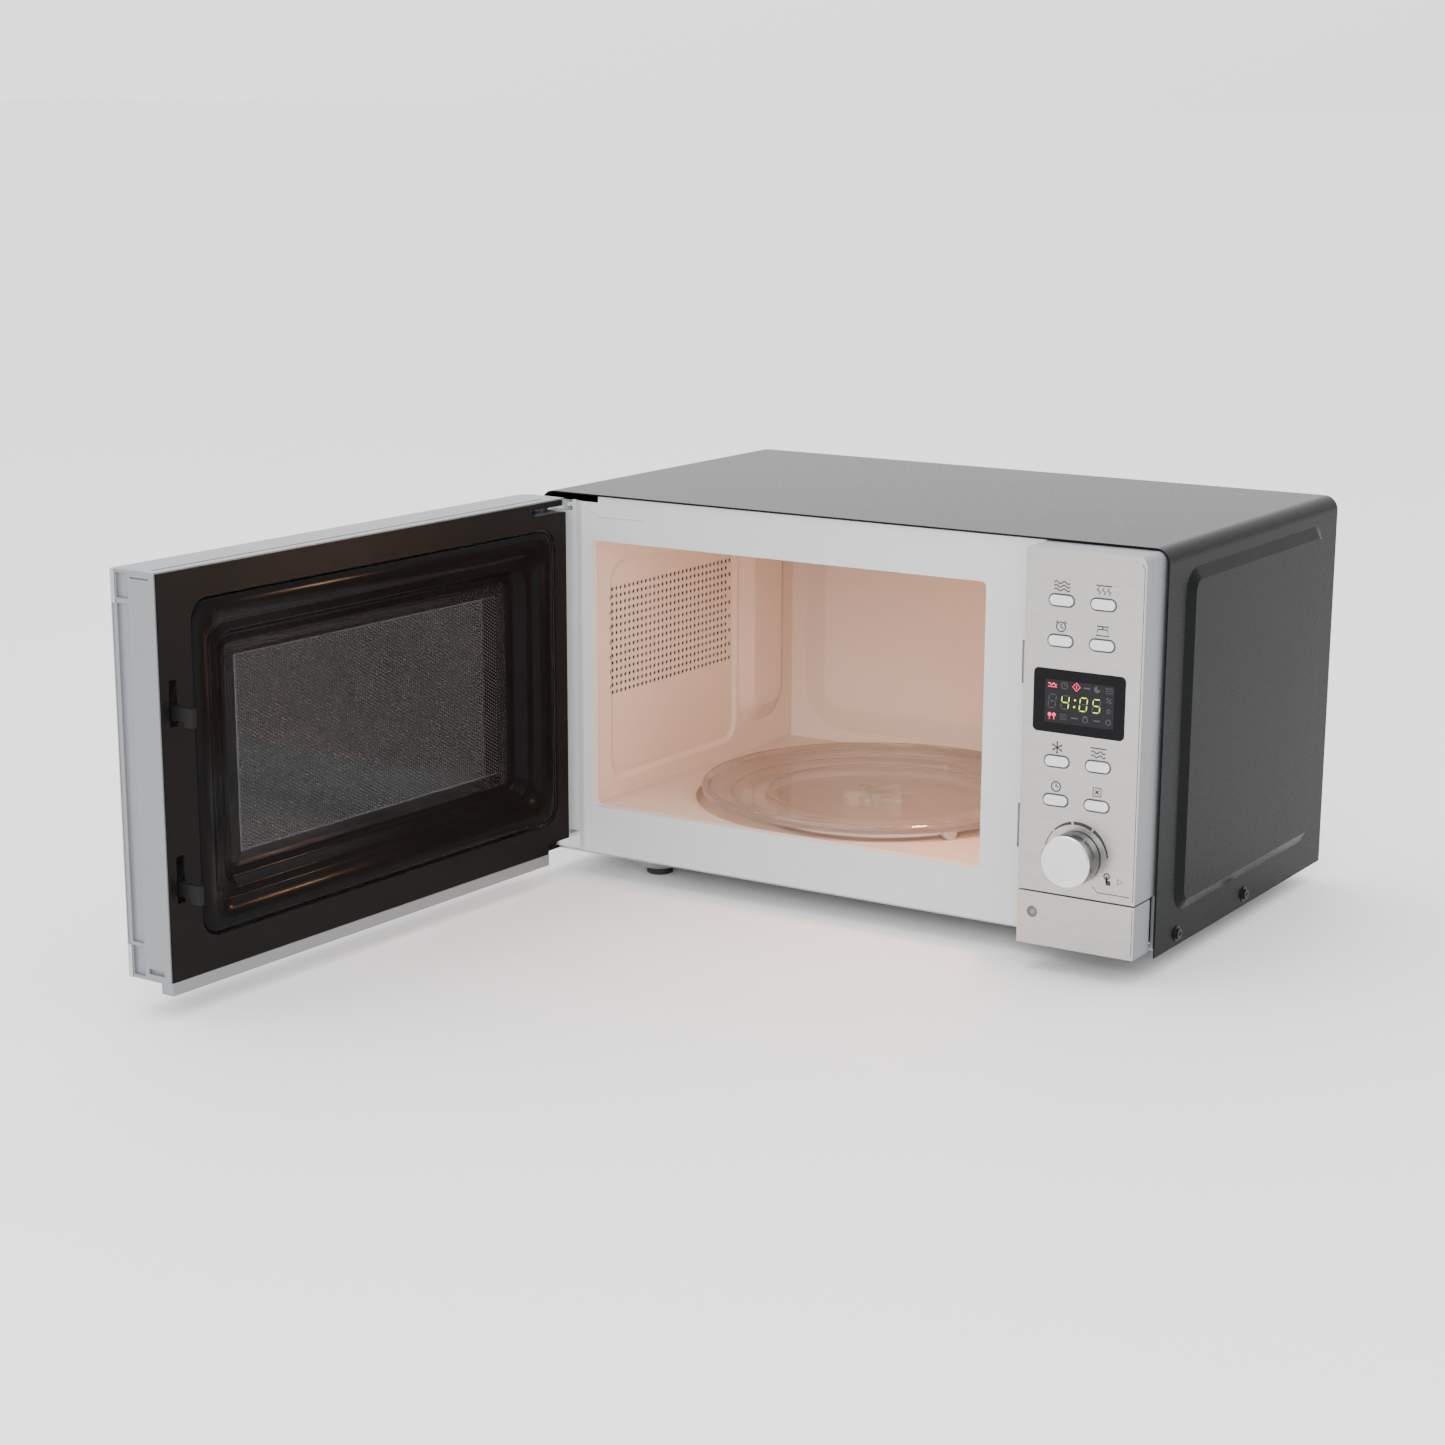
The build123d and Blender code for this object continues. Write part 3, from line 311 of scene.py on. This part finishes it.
class Marks:
    """Thin flat marks on an upright face that looks to the front. Sizes are in mm."""

    def __init__(self, face_y, thickness):
        self.face_y = face_y
        self.thickness = thickness
        self.points = []
        self.faces = []

    def layer(self, outline, lift):
        """The outline's points on the face, or lifted off it by the thickness."""
        start = len(self.points)
        y = self.face_y - lift * self.thickness * MM
        self.points += [(x * MM, y, z * MM) for x, z in outline]
        return range(start, start + len(outline))

    def plate(self, outline):
        """A filled outline, given anticlockwise."""
        back, top = self.layer(outline, 0), self.layer(outline, 1)
        count = len(outline)
        self.faces += [tuple(top), tuple(reversed(back))]
        for i in range(count):
            j = (i + 1) % count
            self.faces.append((back[i], back[j], top[j], top[i]))

    def line(self, path, widths, closed=False):
        """A line of the given width, or width at each point."""
        if not isinstance(widths, (list, tuple)):
            widths = [widths] * len(path)
        count = len(path)
        left, right = [], []
        for i, (x, z) in enumerate(path):
            before = path[i - 1] if i or closed else path[i]
            after = path[(i + 1) % count] if i + 1 < count or closed else path[i]
            heading = atan2(after[1] - before[1], after[0] - before[0]) + pi / 2
            half = widths[i] / 2
            left.append((x + half * cos(heading), z + half * sin(heading)))
            right.append((x - half * cos(heading), z - half * sin(heading)))
        back_left, top_left = self.layer(left, 0), self.layer(left, 1)
        back_right, top_right = self.layer(right, 0), self.layer(right, 1)
        for i in range(count if closed else count - 1):
            j = (i + 1) % count
            self.faces.append((top_right[i], top_right[j], top_left[j], top_left[i]))
            self.faces.append((back_left[i], back_left[j], back_right[j], back_right[i]))
            self.faces.append((top_left[i], top_left[j], back_left[j], back_left[i]))
            self.faces.append((back_right[i], back_right[j], top_right[j], top_right[i]))
        if not closed:
            self.faces.append((back_left[0], back_right[0], top_right[0], top_left[0]))
            self.faces.append((top_left[-1], top_right[-1], back_right[-1], back_left[-1]))

    def ring(self, x, z, radius, width):
        """A thin circle."""
        self.line(circle(x, z, radius, 24), width, closed=True)

    def disc(self, x, z, radius):
        """A filled circle."""
        self.plate(circle(x, z, radius, 24))

    def make(self, name, material, body, slot):
        """The marks drawn so far, as one piece."""
        return piece(name, self.points, self.faces, material, body)


def circle(x, z, radius, count, start=0.0, turn=2 * pi):
    """Points on a circle or on an arc, anticlockwise seen from the front."""
    steps = count if abs(turn) >= 2 * pi else count - 1
    angles = [start + turn * i / steps for i in range(count)]
    return [(x + radius * cos(angle), z + radius * sin(angle)) for angle in angles]


# ---- signs printed on the control panel ------
ink = finish("panel_ink", (0.018, 0.018, 0.018), (0.03, 0.03, 0.03), (0.45, 0.6))
INK_THICKNESS, THIN = 0.06, 0.03
printed = Marks(panel_low.y, INK_THICKNESS)
LINE = 0.75
SIGN_ABOVE_KEY = 8.2


def key_centre(name):
    """The middle of a key's face, and where the sign above it goes, in mm."""
    low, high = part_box(name)
    return (low.x + high.x) / 2 / MM, (low.z + high.z) / 2 / MM + SIGN_ABOVE_KEY


def wave(x, z, length, height):
    """A wavy line, drawn through these points."""
    return [(x + length * (i / 16 - 0.5), z + height * sin(4 * pi * i / 16)) for i in range(17)]


x, z = key_centre("key_power")
for rise in (-2.1, 0, 2.1):
    printed.line(wave(x, z + rise, 10, 0.7), LINE)
x, z = key_centre("key_grill")
printed.line([(x - 5, z + 2.6), (x + 5, z + 2.6)], LINE)
for shift in (-3.2, 0, 3.2):
    printed.line([
        (x + shift, z + 1.5), (x + shift - 1, z + 0.1), (x + shift + 1, z - 1.2), (x + shift, z - 2.6),
    ], LINE)
x, z = key_centre("key_preset")
printed.ring(x, z, 2.8, LINE)
printed.line([(x, z + 1.9), (x, z), (x + 1.5, z - 0.9)], LINE)
printed.line([(x - 3.4, z + 2.0), (x - 2.0, z + 3.4)], LINE)
printed.line([(x + 2.0, z + 3.4), (x + 3.4, z + 2.0)], LINE)
x, z = key_centre("key_weight")
printed.line([(x - 4, z - 2.6), (x + 4, z - 2.6), (x + 3, z + 1), (x - 3, z + 1)], LINE, closed=True)
printed.line([(x - 3.6, z + 2.7), (x + 3.6, z + 2.7)], LINE)
printed.line([(x, z + 1), (x, z + 2.7)], LINE)
x, z = key_centre("key_defrost")
for turn in (0, pi / 3, 2 * pi / 3):
    dx, dz = 3 * cos(turn + pi / 2), 3 * sin(turn + pi / 2)
    printed.line([(x - dx, z - dz), (x + dx, z + dz)], LINE)
    for tip in (-1, 1):
        printed.ring(x + tip * dx, z + tip * dz, 0.45, 0.45)
x, z = key_centre("key_combi")
printed.line([(x - 5, z + 2.6), (x + 5, z + 2.6)], LINE)
for rise in (-2.2, 0.2):
    printed.line(wave(x, z + rise, 9, 0.7), LINE)
x, z = key_centre("key_clock")
printed.ring(x, z, 2.9, LINE)
printed.line([(x, z + 2), (x, z), (x + 1.7, z)], LINE)
x, z = key_centre("key_stop")
printed.line([
    (x - 2.5, z - 2.5), (x + 2.5, z - 2.5), (x + 2.5, z + 2.5), (x - 2.5, z + 2.5),
], LINE, closed=True)
printed.line([(x - 1.2, z - 1.2), (x + 1.2, z + 1.2)], LINE)
printed.line([(x - 1.2, z + 1.2), (x + 1.2, z - 1.2)], LINE)

# the knob's dial: a thin arc with an arrowhead, then three segments that grow and taper
dial_x, dial_z, dial_radius = knob_x / MM, knob_z / MM, 20.2
printed.line(circle(dial_x, dial_z, dial_radius, 12, radians(176), radians(-38)), 0.6)
printed.plate([
    (dial_x - dial_radius - 1.1, dial_z + 2.2), (dial_x - dial_radius + 0.1, dial_z - 1.0),
    (dial_x - dial_radius + 1.3, dial_z + 2.4),
])
for start, end, widths in ((134, 100, (0.9, 1.9)), (96, 62, (2.0, 2.1)), (58, 6, (2.1, 0.9))):
    arc = circle(dial_x, dial_z, dial_radius, 14, radians(start), radians(end - start))
    printed.line(arc, [widths[0] + (widths[1] - widths[0]) * i / 13 for i in range(14)])

# start sign below the knob: a finger on a round key, over a bracket line
touch_x, touch_z = dial_x + 20, dial_z - 11
printed.ring(touch_x, touch_z + 2.3, 1.7, 0.8)
printed.line([(touch_x, touch_z + 2.4), (touch_x, touch_z - 1.6)], 1.3)
printed.plate([
    (touch_x - 0.4, touch_z - 3), (touch_x + 2.6, touch_z - 3), (touch_x + 2.6, touch_z - 0.4),
    (touch_x - 0.4, touch_z + 0.2),
])
printed.line([
    (touch_x + 7, touch_z + 1.8), (touch_x + 10, touch_z), (touch_x + 7, touch_z - 1.8),
], 0.6, closed=True)
printed.line([
    (touch_x - 9, touch_z - 5), (touch_x - 5.5, touch_z - 8.2), (touch_x + 15, touch_z - 8.2),
], 0.5)
printed.make("panel_signs", ink, "root", "latch_black")

# painted shadow: a thin dark ring on the skin round each key, where the gap round the key lies in shade
gap_shade = finish(
    "gap_shade", (0.05, 0.05, 0.052), (0.07, 0.07, 0.072), (0.5, 0.6), Specular_IOR_Level=0.2,
)
gap_shade_marks = Marks(panel_low.y, THIN)
GAP_LINE, KEY_HOLE_WIDTH, KEY_HOLE_HEIGHT = 0.55, 15.8, 6.8
for part in frame["record"]["subparts"]:
    if part["node"].startswith("key_"):
        low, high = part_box(part["node"])
        key_x, key_z = (low.x + high.x) / 2 / MM, (low.z + high.z) / 2 / MM
        radius = KEY_HOLE_HEIGHT / 2 + GAP_LINE / 2
        flat = (KEY_HOLE_WIDTH - KEY_HOLE_HEIGHT) / 2
        right_end = circle(key_x + flat, key_z, radius, 9, -pi / 2, pi)
        left_end = circle(key_x - flat, key_z, radius, 9, pi / 2, pi)
        gap_shade_marks.line(right_end + left_end, GAP_LINE, closed=True)
gap_shade_marks.make("key_gap_shade", gap_shade, "root", "latch_black")

# painted shade: a thin dark line at the skin's folded right edge on the panel, standing in for the shaded gap
# between the skin and the housing
FOLD_INSET, FOLD_LINE, FOLD_END = 1.1, 0.4, 2
fold_x = panel_high.x / MM - FOLD_INSET
fold_shade_marks = Marks(panel_low.y, THIN)
fold_low, fold_high = panel_low.z / MM + FOLD_END, panel_high.z / MM - 7
fold_shade_marks.line([(fold_x, fold_low), (fold_x, fold_high)], FOLD_LINE)
fold_shade_marks.line([(fold_x, fold_high), (fold_x - 1.6, panel_high.z / MM - 4)], FOLD_LINE)
fold_shade_marks.make("panel_fold_shade", gap_shade, "root", "latch_black")
# the same painted shade line on the door release's skin
release_fold_shade = Marks(release_low.y, THIN)
release_fold_shade.line([
    (fold_x, release_low.z / MM + FOLD_END), (fold_x, release_high.z / MM - FOLD_END),
], FOLD_LINE)
release_fold_shade.make("release_fold_shade", gap_shade, "release", "latch_black")

# ---- the display's screen, digits and signs ------
screen_glass = finish(
    "display_screen_glass", (0.014, 0.014, 0.016), (0.018, 0.018, 0.020), (0.25, 0.35),
    grain=400, relief=0.04,
    Specular_IOR_Level=0.1,
)
lit_green = finish(
    "display_lit_green", (0.5, 0.75, 0.05), (0.55, 0.8, 0.08), (0.3, 0.4),
    Emission_Color=(0.62, 0.9, 0.06, 1),
    Emission_Strength=0.8,
)
lit_red = finish(
    "display_lit_red", (0.8, 0.03, 0.10), (0.85, 0.04, 0.12), (0.3, 0.4),
    Emission_Color=(0.95, 0.02, 0.11, 1),
    Emission_Strength=0.9,
)
unlit = finish(
    "display_unlit", (0.05, 0.05, 0.05), (0.065, 0.065, 0.065), (0.3, 0.4), Specular_IOR_Level=0.2,
)
face_y = window_low.y
screen_x = (window_low.x + window_high.x) / 2 / MM + 0.6
screen_z = (window_low.z + window_high.z) / 2 / MM
screen = Marks(face_y, THIN)
HALF_WIDE, HALF_HIGH = 21.8, 12.6
screen.plate([
    (screen_x - HALF_WIDE, screen_z - HALF_HIGH), (screen_x + HALF_WIDE, screen_z - HALF_HIGH),
    (screen_x + HALF_WIDE, screen_z + HALF_HIGH), (screen_x - HALF_WIDE, screen_z + HALF_HIGH),
])
screen.make("display_screen", screen_glass, "root", "display_black")
on_screen = face_y - THIN * MM
green, red, grey = (Marks(on_screen, THIN) for _ in range(3))

SEGMENTS = {
    "a": ((0, 2), (1, 2)), "b": ((1, 1), (1, 2)), "c": ((1, 0), (1, 1)), "d": ((0, 0), (1, 0)),
    "e": ((0, 0), (0, 1)), "f": ((0, 1), (0, 2)), "g": ((0, 1), (1, 1)),
}
DIGIT_WIDTH, HALF_HEIGHT, SLANT, GAP = 4.5, 3.9, 0.1, 0.5


def digit(x, lit):
    """One seven-segment digit with its left edge at x and these segments lit."""
    for name, ((u0, v0), (u1, v1)) in SEGMENTS.items():
        ends = []
        for u, v, toward_u, toward_v in ((u0, v0, u1, v1), (u1, v1, u0, v0)):
            px = x + u * DIGIT_WIDTH + (toward_u - u) * GAP
            pz = screen_z + (v - 1) * HALF_HEIGHT + (toward_v - v) * GAP
            ends.append((px + SLANT * (pz - screen_z), pz))
        (ax, az), (bx, bz) = ends
        middle = ((ax + bx) / 2, (az + bz) / 2)
        (green if name in lit else grey).line([ends[0], middle, ends[1]], [0.35, 0.62, 0.35])


digit(screen_x - 19.4, "")
digit(screen_x - 11.2, "fgbc")
digit(screen_x + 0.4, "abcdef")
digit(screen_x + 8.6, "afgcd")
for rise in (-2, 2):
    green.disc(screen_x - 2.9 + SLANT * rise, screen_z + rise, 0.6)

top, bottom = screen_z + 9.7, screen_z - 8.6
red.line(wave(screen_x - 17.2, top + 0.3, 5.4, 0.6), 0.6)
red.line([(screen_x - 20, top - 1.3), (screen_x - 14.4, top - 1.3)], 0.5)
diamond = [
    (screen_x - 2, top - 2.4), (screen_x + 0.4, top), (screen_x - 2, top + 2.4), (screen_x - 4.4, top),
]
red.line(diamond, 0.5, closed=True)
red.line([(screen_x - 2, top - 1), (screen_x - 2, top + 1)], 0.5)
for shift in (-18.6, -15.8):
    red.disc(screen_x + shift, bottom + 0.7, 1.15)
    red.line([(screen_x + shift, bottom - 0.2), (screen_x + shift, bottom - 2.2)], 0.5)
grey.ring(screen_x - 9.6, top, 1.9, 0.5)
grey.line([(screen_x - 9.6, top + 1), (screen_x - 9.6, top), (screen_x - 8.6, top)], 0.4)
grey.line([(screen_x + 2.6, top), (screen_x + 6.6, top)], 0.9)
grey.plate([(screen_x + 11, top)] + circle(screen_x + 11, top, 1.9, 16, pi / 2, 3 * pi / 2))
for rise in (top, bottom):
    frame_x = screen_x + 18.6 if rise == top else screen_x - 9.8
    grey.line([
        (frame_x - 1.8, rise - 1.4), (frame_x + 1.8, rise - 1.4), (frame_x + 1.8, rise + 1.4),
        (frame_x - 1.8, rise + 1.4),
    ], 0.45, closed=True)
    grey.line([(frame_x - 1, rise), (frame_x + 1, rise)], 0.4)
grey.line([(screen_x + 17.2, screen_z + 2.8), (screen_x + 20, screen_z + 5.2)], 0.5)
grey.disc(screen_x + 17.6, screen_z + 5, 0.6)
grey.disc(screen_x + 19.6, screen_z + 3, 0.6)
grey.ring(screen_x + 18.6, screen_z - 2.2, 1.1, 0.5)
grey.ring(screen_x + 18.6, bottom, 1.5, 0.5)
grey.line([(screen_x - 5, bottom), (screen_x - 0.6, bottom)], 0.8)
grey.ring(screen_x + 4, bottom - 0.3, 1.5, 0.5)
grey.line([(screen_x + 2.6, bottom + 1.6), (screen_x + 5.4, bottom + 1.6)], 0.5)
grey.line([(screen_x + 9.4, bottom), (screen_x + 13.4, bottom)], 0.8)
green.make("display_digits", lit_green, "root", "display_black")
red.make("display_red_signs", lit_red, "root", "display_black")
grey.make("display_unlit_signs", unlit, "root", "display_black")

# ---- door screen: the stepped pan, and the perforated sheet in its middle ------
PAN = {"left": 5.5, "right": 326.5, "low": 42.0, "high": 233.0}
HOLES = {"left": 50.0, "right": 283.5, "low": 80.5, "high": 195.5}
PAN_RIM = 18.1
PAN_FLOOR = 6.1
CORNER_STEPS = 10


def rounded(left, right, low, high, radius):
    """A rounded rectangle's outline in the door's s and z, anticlockwise."""
    corners = ((right - radius, low + radius, -90), (right - radius, high - radius, 0),
               (left + radius, high - radius, 90), (left + radius, low + radius, 180))
    outline = []
    for s, z, start in corners:
        for i in range(CORNER_STEPS + 1):
            angle = radians(start + 90 * i / CORNER_STEPS)
            outline.append((s + radius * cos(angle), z + radius * sin(angle)))
    return outline


# each level: how far in from the pan's edge along the door and upright, its depth, its corner radius
pan_levels = (
    (0.0, 0.0, 1.8, 12.0), (0.2, 0.2, 1.2, 12.0), (1.0, 1.0, 0.7, 12.0), (2.4, 2.4, 0.3, 12.0),
    (4.2, 4.2, 0.05, 12.2), (6.2, 6.2, 0.05, 12.4), (8.6, 8.4, 0.45, 12.6), (11.0, 10.6, 1.2, 12.8),
    (13.2, 12.6, 2.2, 13.0), (15.6, 14.6, 3.6, 13.2), (17.0, 15.8, 4.7, 13.4), (18.2, 16.8, 5.0, 13.6),
    (22.2, 20.6, 5.1, 12.6), (23.6, 21.8, 5.6, 12.4), (26.6, 24.4, 10.9, 11.4), (28.0, 25.6, 11.8, 11.0),
    (30.0, 27.2, 12.0, 10.6),
)
points, faces = [], []
for inset_s, inset_z, depth, radius in pan_levels:
    outline = rounded(
        PAN["left"] + inset_s, PAN["right"] - inset_s,
        PAN["low"] + inset_z, PAN["high"] - inset_z, radius,
    )
    points += [on_door(s, z, PAN_RIM - depth) for s, z in outline]
sheet_edge = rounded(HOLES["left"], HOLES["right"], HOLES["low"], HOLES["high"], 0.6)
points += [on_door(s, z, PAN_FLOOR) for s, z in sheet_edge]
round_count = 4 * (CORNER_STEPS + 1)
for level in range(len(pan_levels)):
    for i in range(round_count):
        a, b = level * round_count + i, level * round_count + (i + 1) % round_count
        faces.append((a, a + round_count, b + round_count, b))
pan = piece("door_screen_pan", points, faces, finishes["screen_black"], "door")
pan.data.polygons.foreach_set("use_smooth", [True] * len(pan.data.polygons))
sheet = pan.modifiers.new("sheet", "SOLIDIFY")
sheet.thickness = 0.5 * MM
sheet.offset = -1
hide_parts("door_screen")

# hexagonal cells with a hole in each, in upright columns that are staggered by half a pitch
PITCH, HOLE_RADIUS, SIDES, SINK = 2.2, 0.66, 6, 0.06
COLUMN_STEP = PITCH * sin(pi / 3)
points, faces = [], []
cell = PITCH / 2 / cos(pi / SIDES)
for column in range(int((HOLES["right"] - HOLES["left"]) / COLUMN_STEP)):
    s = HOLES["left"] + PITCH / 2 + column * COLUMN_STEP
    for row in range(int((HOLES["high"] - HOLES["low"]) / PITCH)):
        z = HOLES["low"] + PITCH / 2 + row * PITCH + (PITCH / 2 if column % 2 else 0)
        start = len(points)
        for size in (cell, HOLE_RADIUS):
            for i in range(SIDES):
                angle = 2 * pi * i / SIDES
                points.append(on_door(s + size * cos(angle), z + size * sin(angle), PAN_FLOOR - SINK))
        for i in range(SIDES):
            j = (i + 1) % SIDES
            faces.append((start + i, start + SIDES + i, start + SIDES + j, start + j))
piece("door_screen_mesh", points, faces, finishes["screen_black"], "door")

# ---- floor, light and camera ------
floor_mesh = bpy.data.meshes.new("floor")
FLOOR_REACH = 60
floor_signs = ((-1, -1), (1, -1), (1, 1), (-1, 1))
floor_corners = [(x * FLOOR_REACH, y * FLOOR_REACH, 0) for x, y in floor_signs]
floor_mesh.from_pydata(floor_corners, [], [(0, 1, 2, 3)])
floor_mesh.materials.append(finish(
    "floor_pale", (0.88, 0.88, 0.88), (0.9, 0.9, 0.9), (0.6, 0.7), patch=0.5, grain=3, relief=0,
))
floor = bpy.data.objects.new("floor", floor_mesh)
bpy.context.scene.collection.objects.link(floor)

SKY_DIRECTION, SKY_BASE = (-0.75, 0.4, 1.3), 1.2
world = bpy.data.worlds.new("studio")
bpy.context.scene.world = world
world.use_nodes = True
sky = world.node_tree
sky.nodes["Background"].inputs["Color"].default_value = (1.0, 1.0, 1.0, 1)
# the studio's light: brightest overhead, at the left and at the back, dimmest at the right
toward = sky.nodes.new("ShaderNodeVectorMath")
toward.operation = "DOT_PRODUCT"
toward.inputs[1].default_value = SKY_DIRECTION
sky.links.new(sky.nodes.new("ShaderNodeTexCoord").outputs["Generated"], toward.inputs[0])
level = sky.nodes.new("ShaderNodeMath")
level.operation = "ADD"
level.inputs[1].default_value = SKY_BASE
sky.links.new(toward.outputs["Value"], level.inputs[0])
sky.links.new(level.outputs["Value"], sky.nodes["Background"].inputs["Strength"])


def soft_light(name, place, target, size, power):
    """A square soft box at a place, turned to a target."""
    data = bpy.data.lights.new(name, "AREA")
    data.size = size
    data.energy = power
    light = bpy.data.objects.new(name, data)
    light.location = place
    light.rotation_euler = (Vector(target) - Vector(place)).to_track_quat("-Z", "Y").to_euler()
    bpy.context.scene.collection.objects.link(light)


soft_light("top_box", (0.0, -0.4, 2.4), (0, 0, 0.1), 1.8, 14)
soft_light("front_box", (0.9, -2.4, 1.0), (-0.1, 0, 0.12), 1.2, 44)

# the oven's lamp: just inside the right wall, forward of the middle
WARM = (1.0, 0.54, 0.31)
LAMP_FROM_WALL, LAMP_FORWARD, LAMP_HEIGHT = 0.022, 0.09, 0.19
lamp = bpy.data.lights.new("oven_lamp_glow", "POINT")
lamp.energy = 0.95
lamp.color = WARM
lamp.shadow_soft_size = 0.012
lamp_spot = bpy.data.objects.new("oven_lamp_glow", lamp)
lamp_spot.location = (
    cavity_high.x - LAMP_FROM_WALL, (cavity_low.y + cavity_high.y) / 2 - LAMP_FORWARD, LAMP_HEIGHT,
)
bpy.context.scene.collection.objects.link(lamp_spot)

EYE = Vector((0.87039, -1.61630, 0.50782))
TARGET = Vector((-0.0609, case_low.y, 0.077))
ROLL = radians(0.3)
LENS, SHIFT = 71.22, (-0.01827, 0.0454)
backward = (EYE - TARGET).normalized()
level_right = Vector((0, 0, 1)).cross(backward).normalized()
level_up = backward.cross(level_right)
right = level_right * cos(ROLL) + level_up * sin(ROLL)
up = backward.cross(right)
view = bpy.data.cameras.new("camera")
view.sensor_width = 36
view.lens = LENS
view.shift_x, view.shift_y = SHIFT
view.clip_end = 200
camera = bpy.data.objects.new("camera", view)
camera.matrix_world = Matrix.Translation(EYE) @ Matrix((right, up, backward)).transposed().to_4x4()
bpy.context.scene.collection.objects.link(camera)
bpy.context.scene.camera = camera
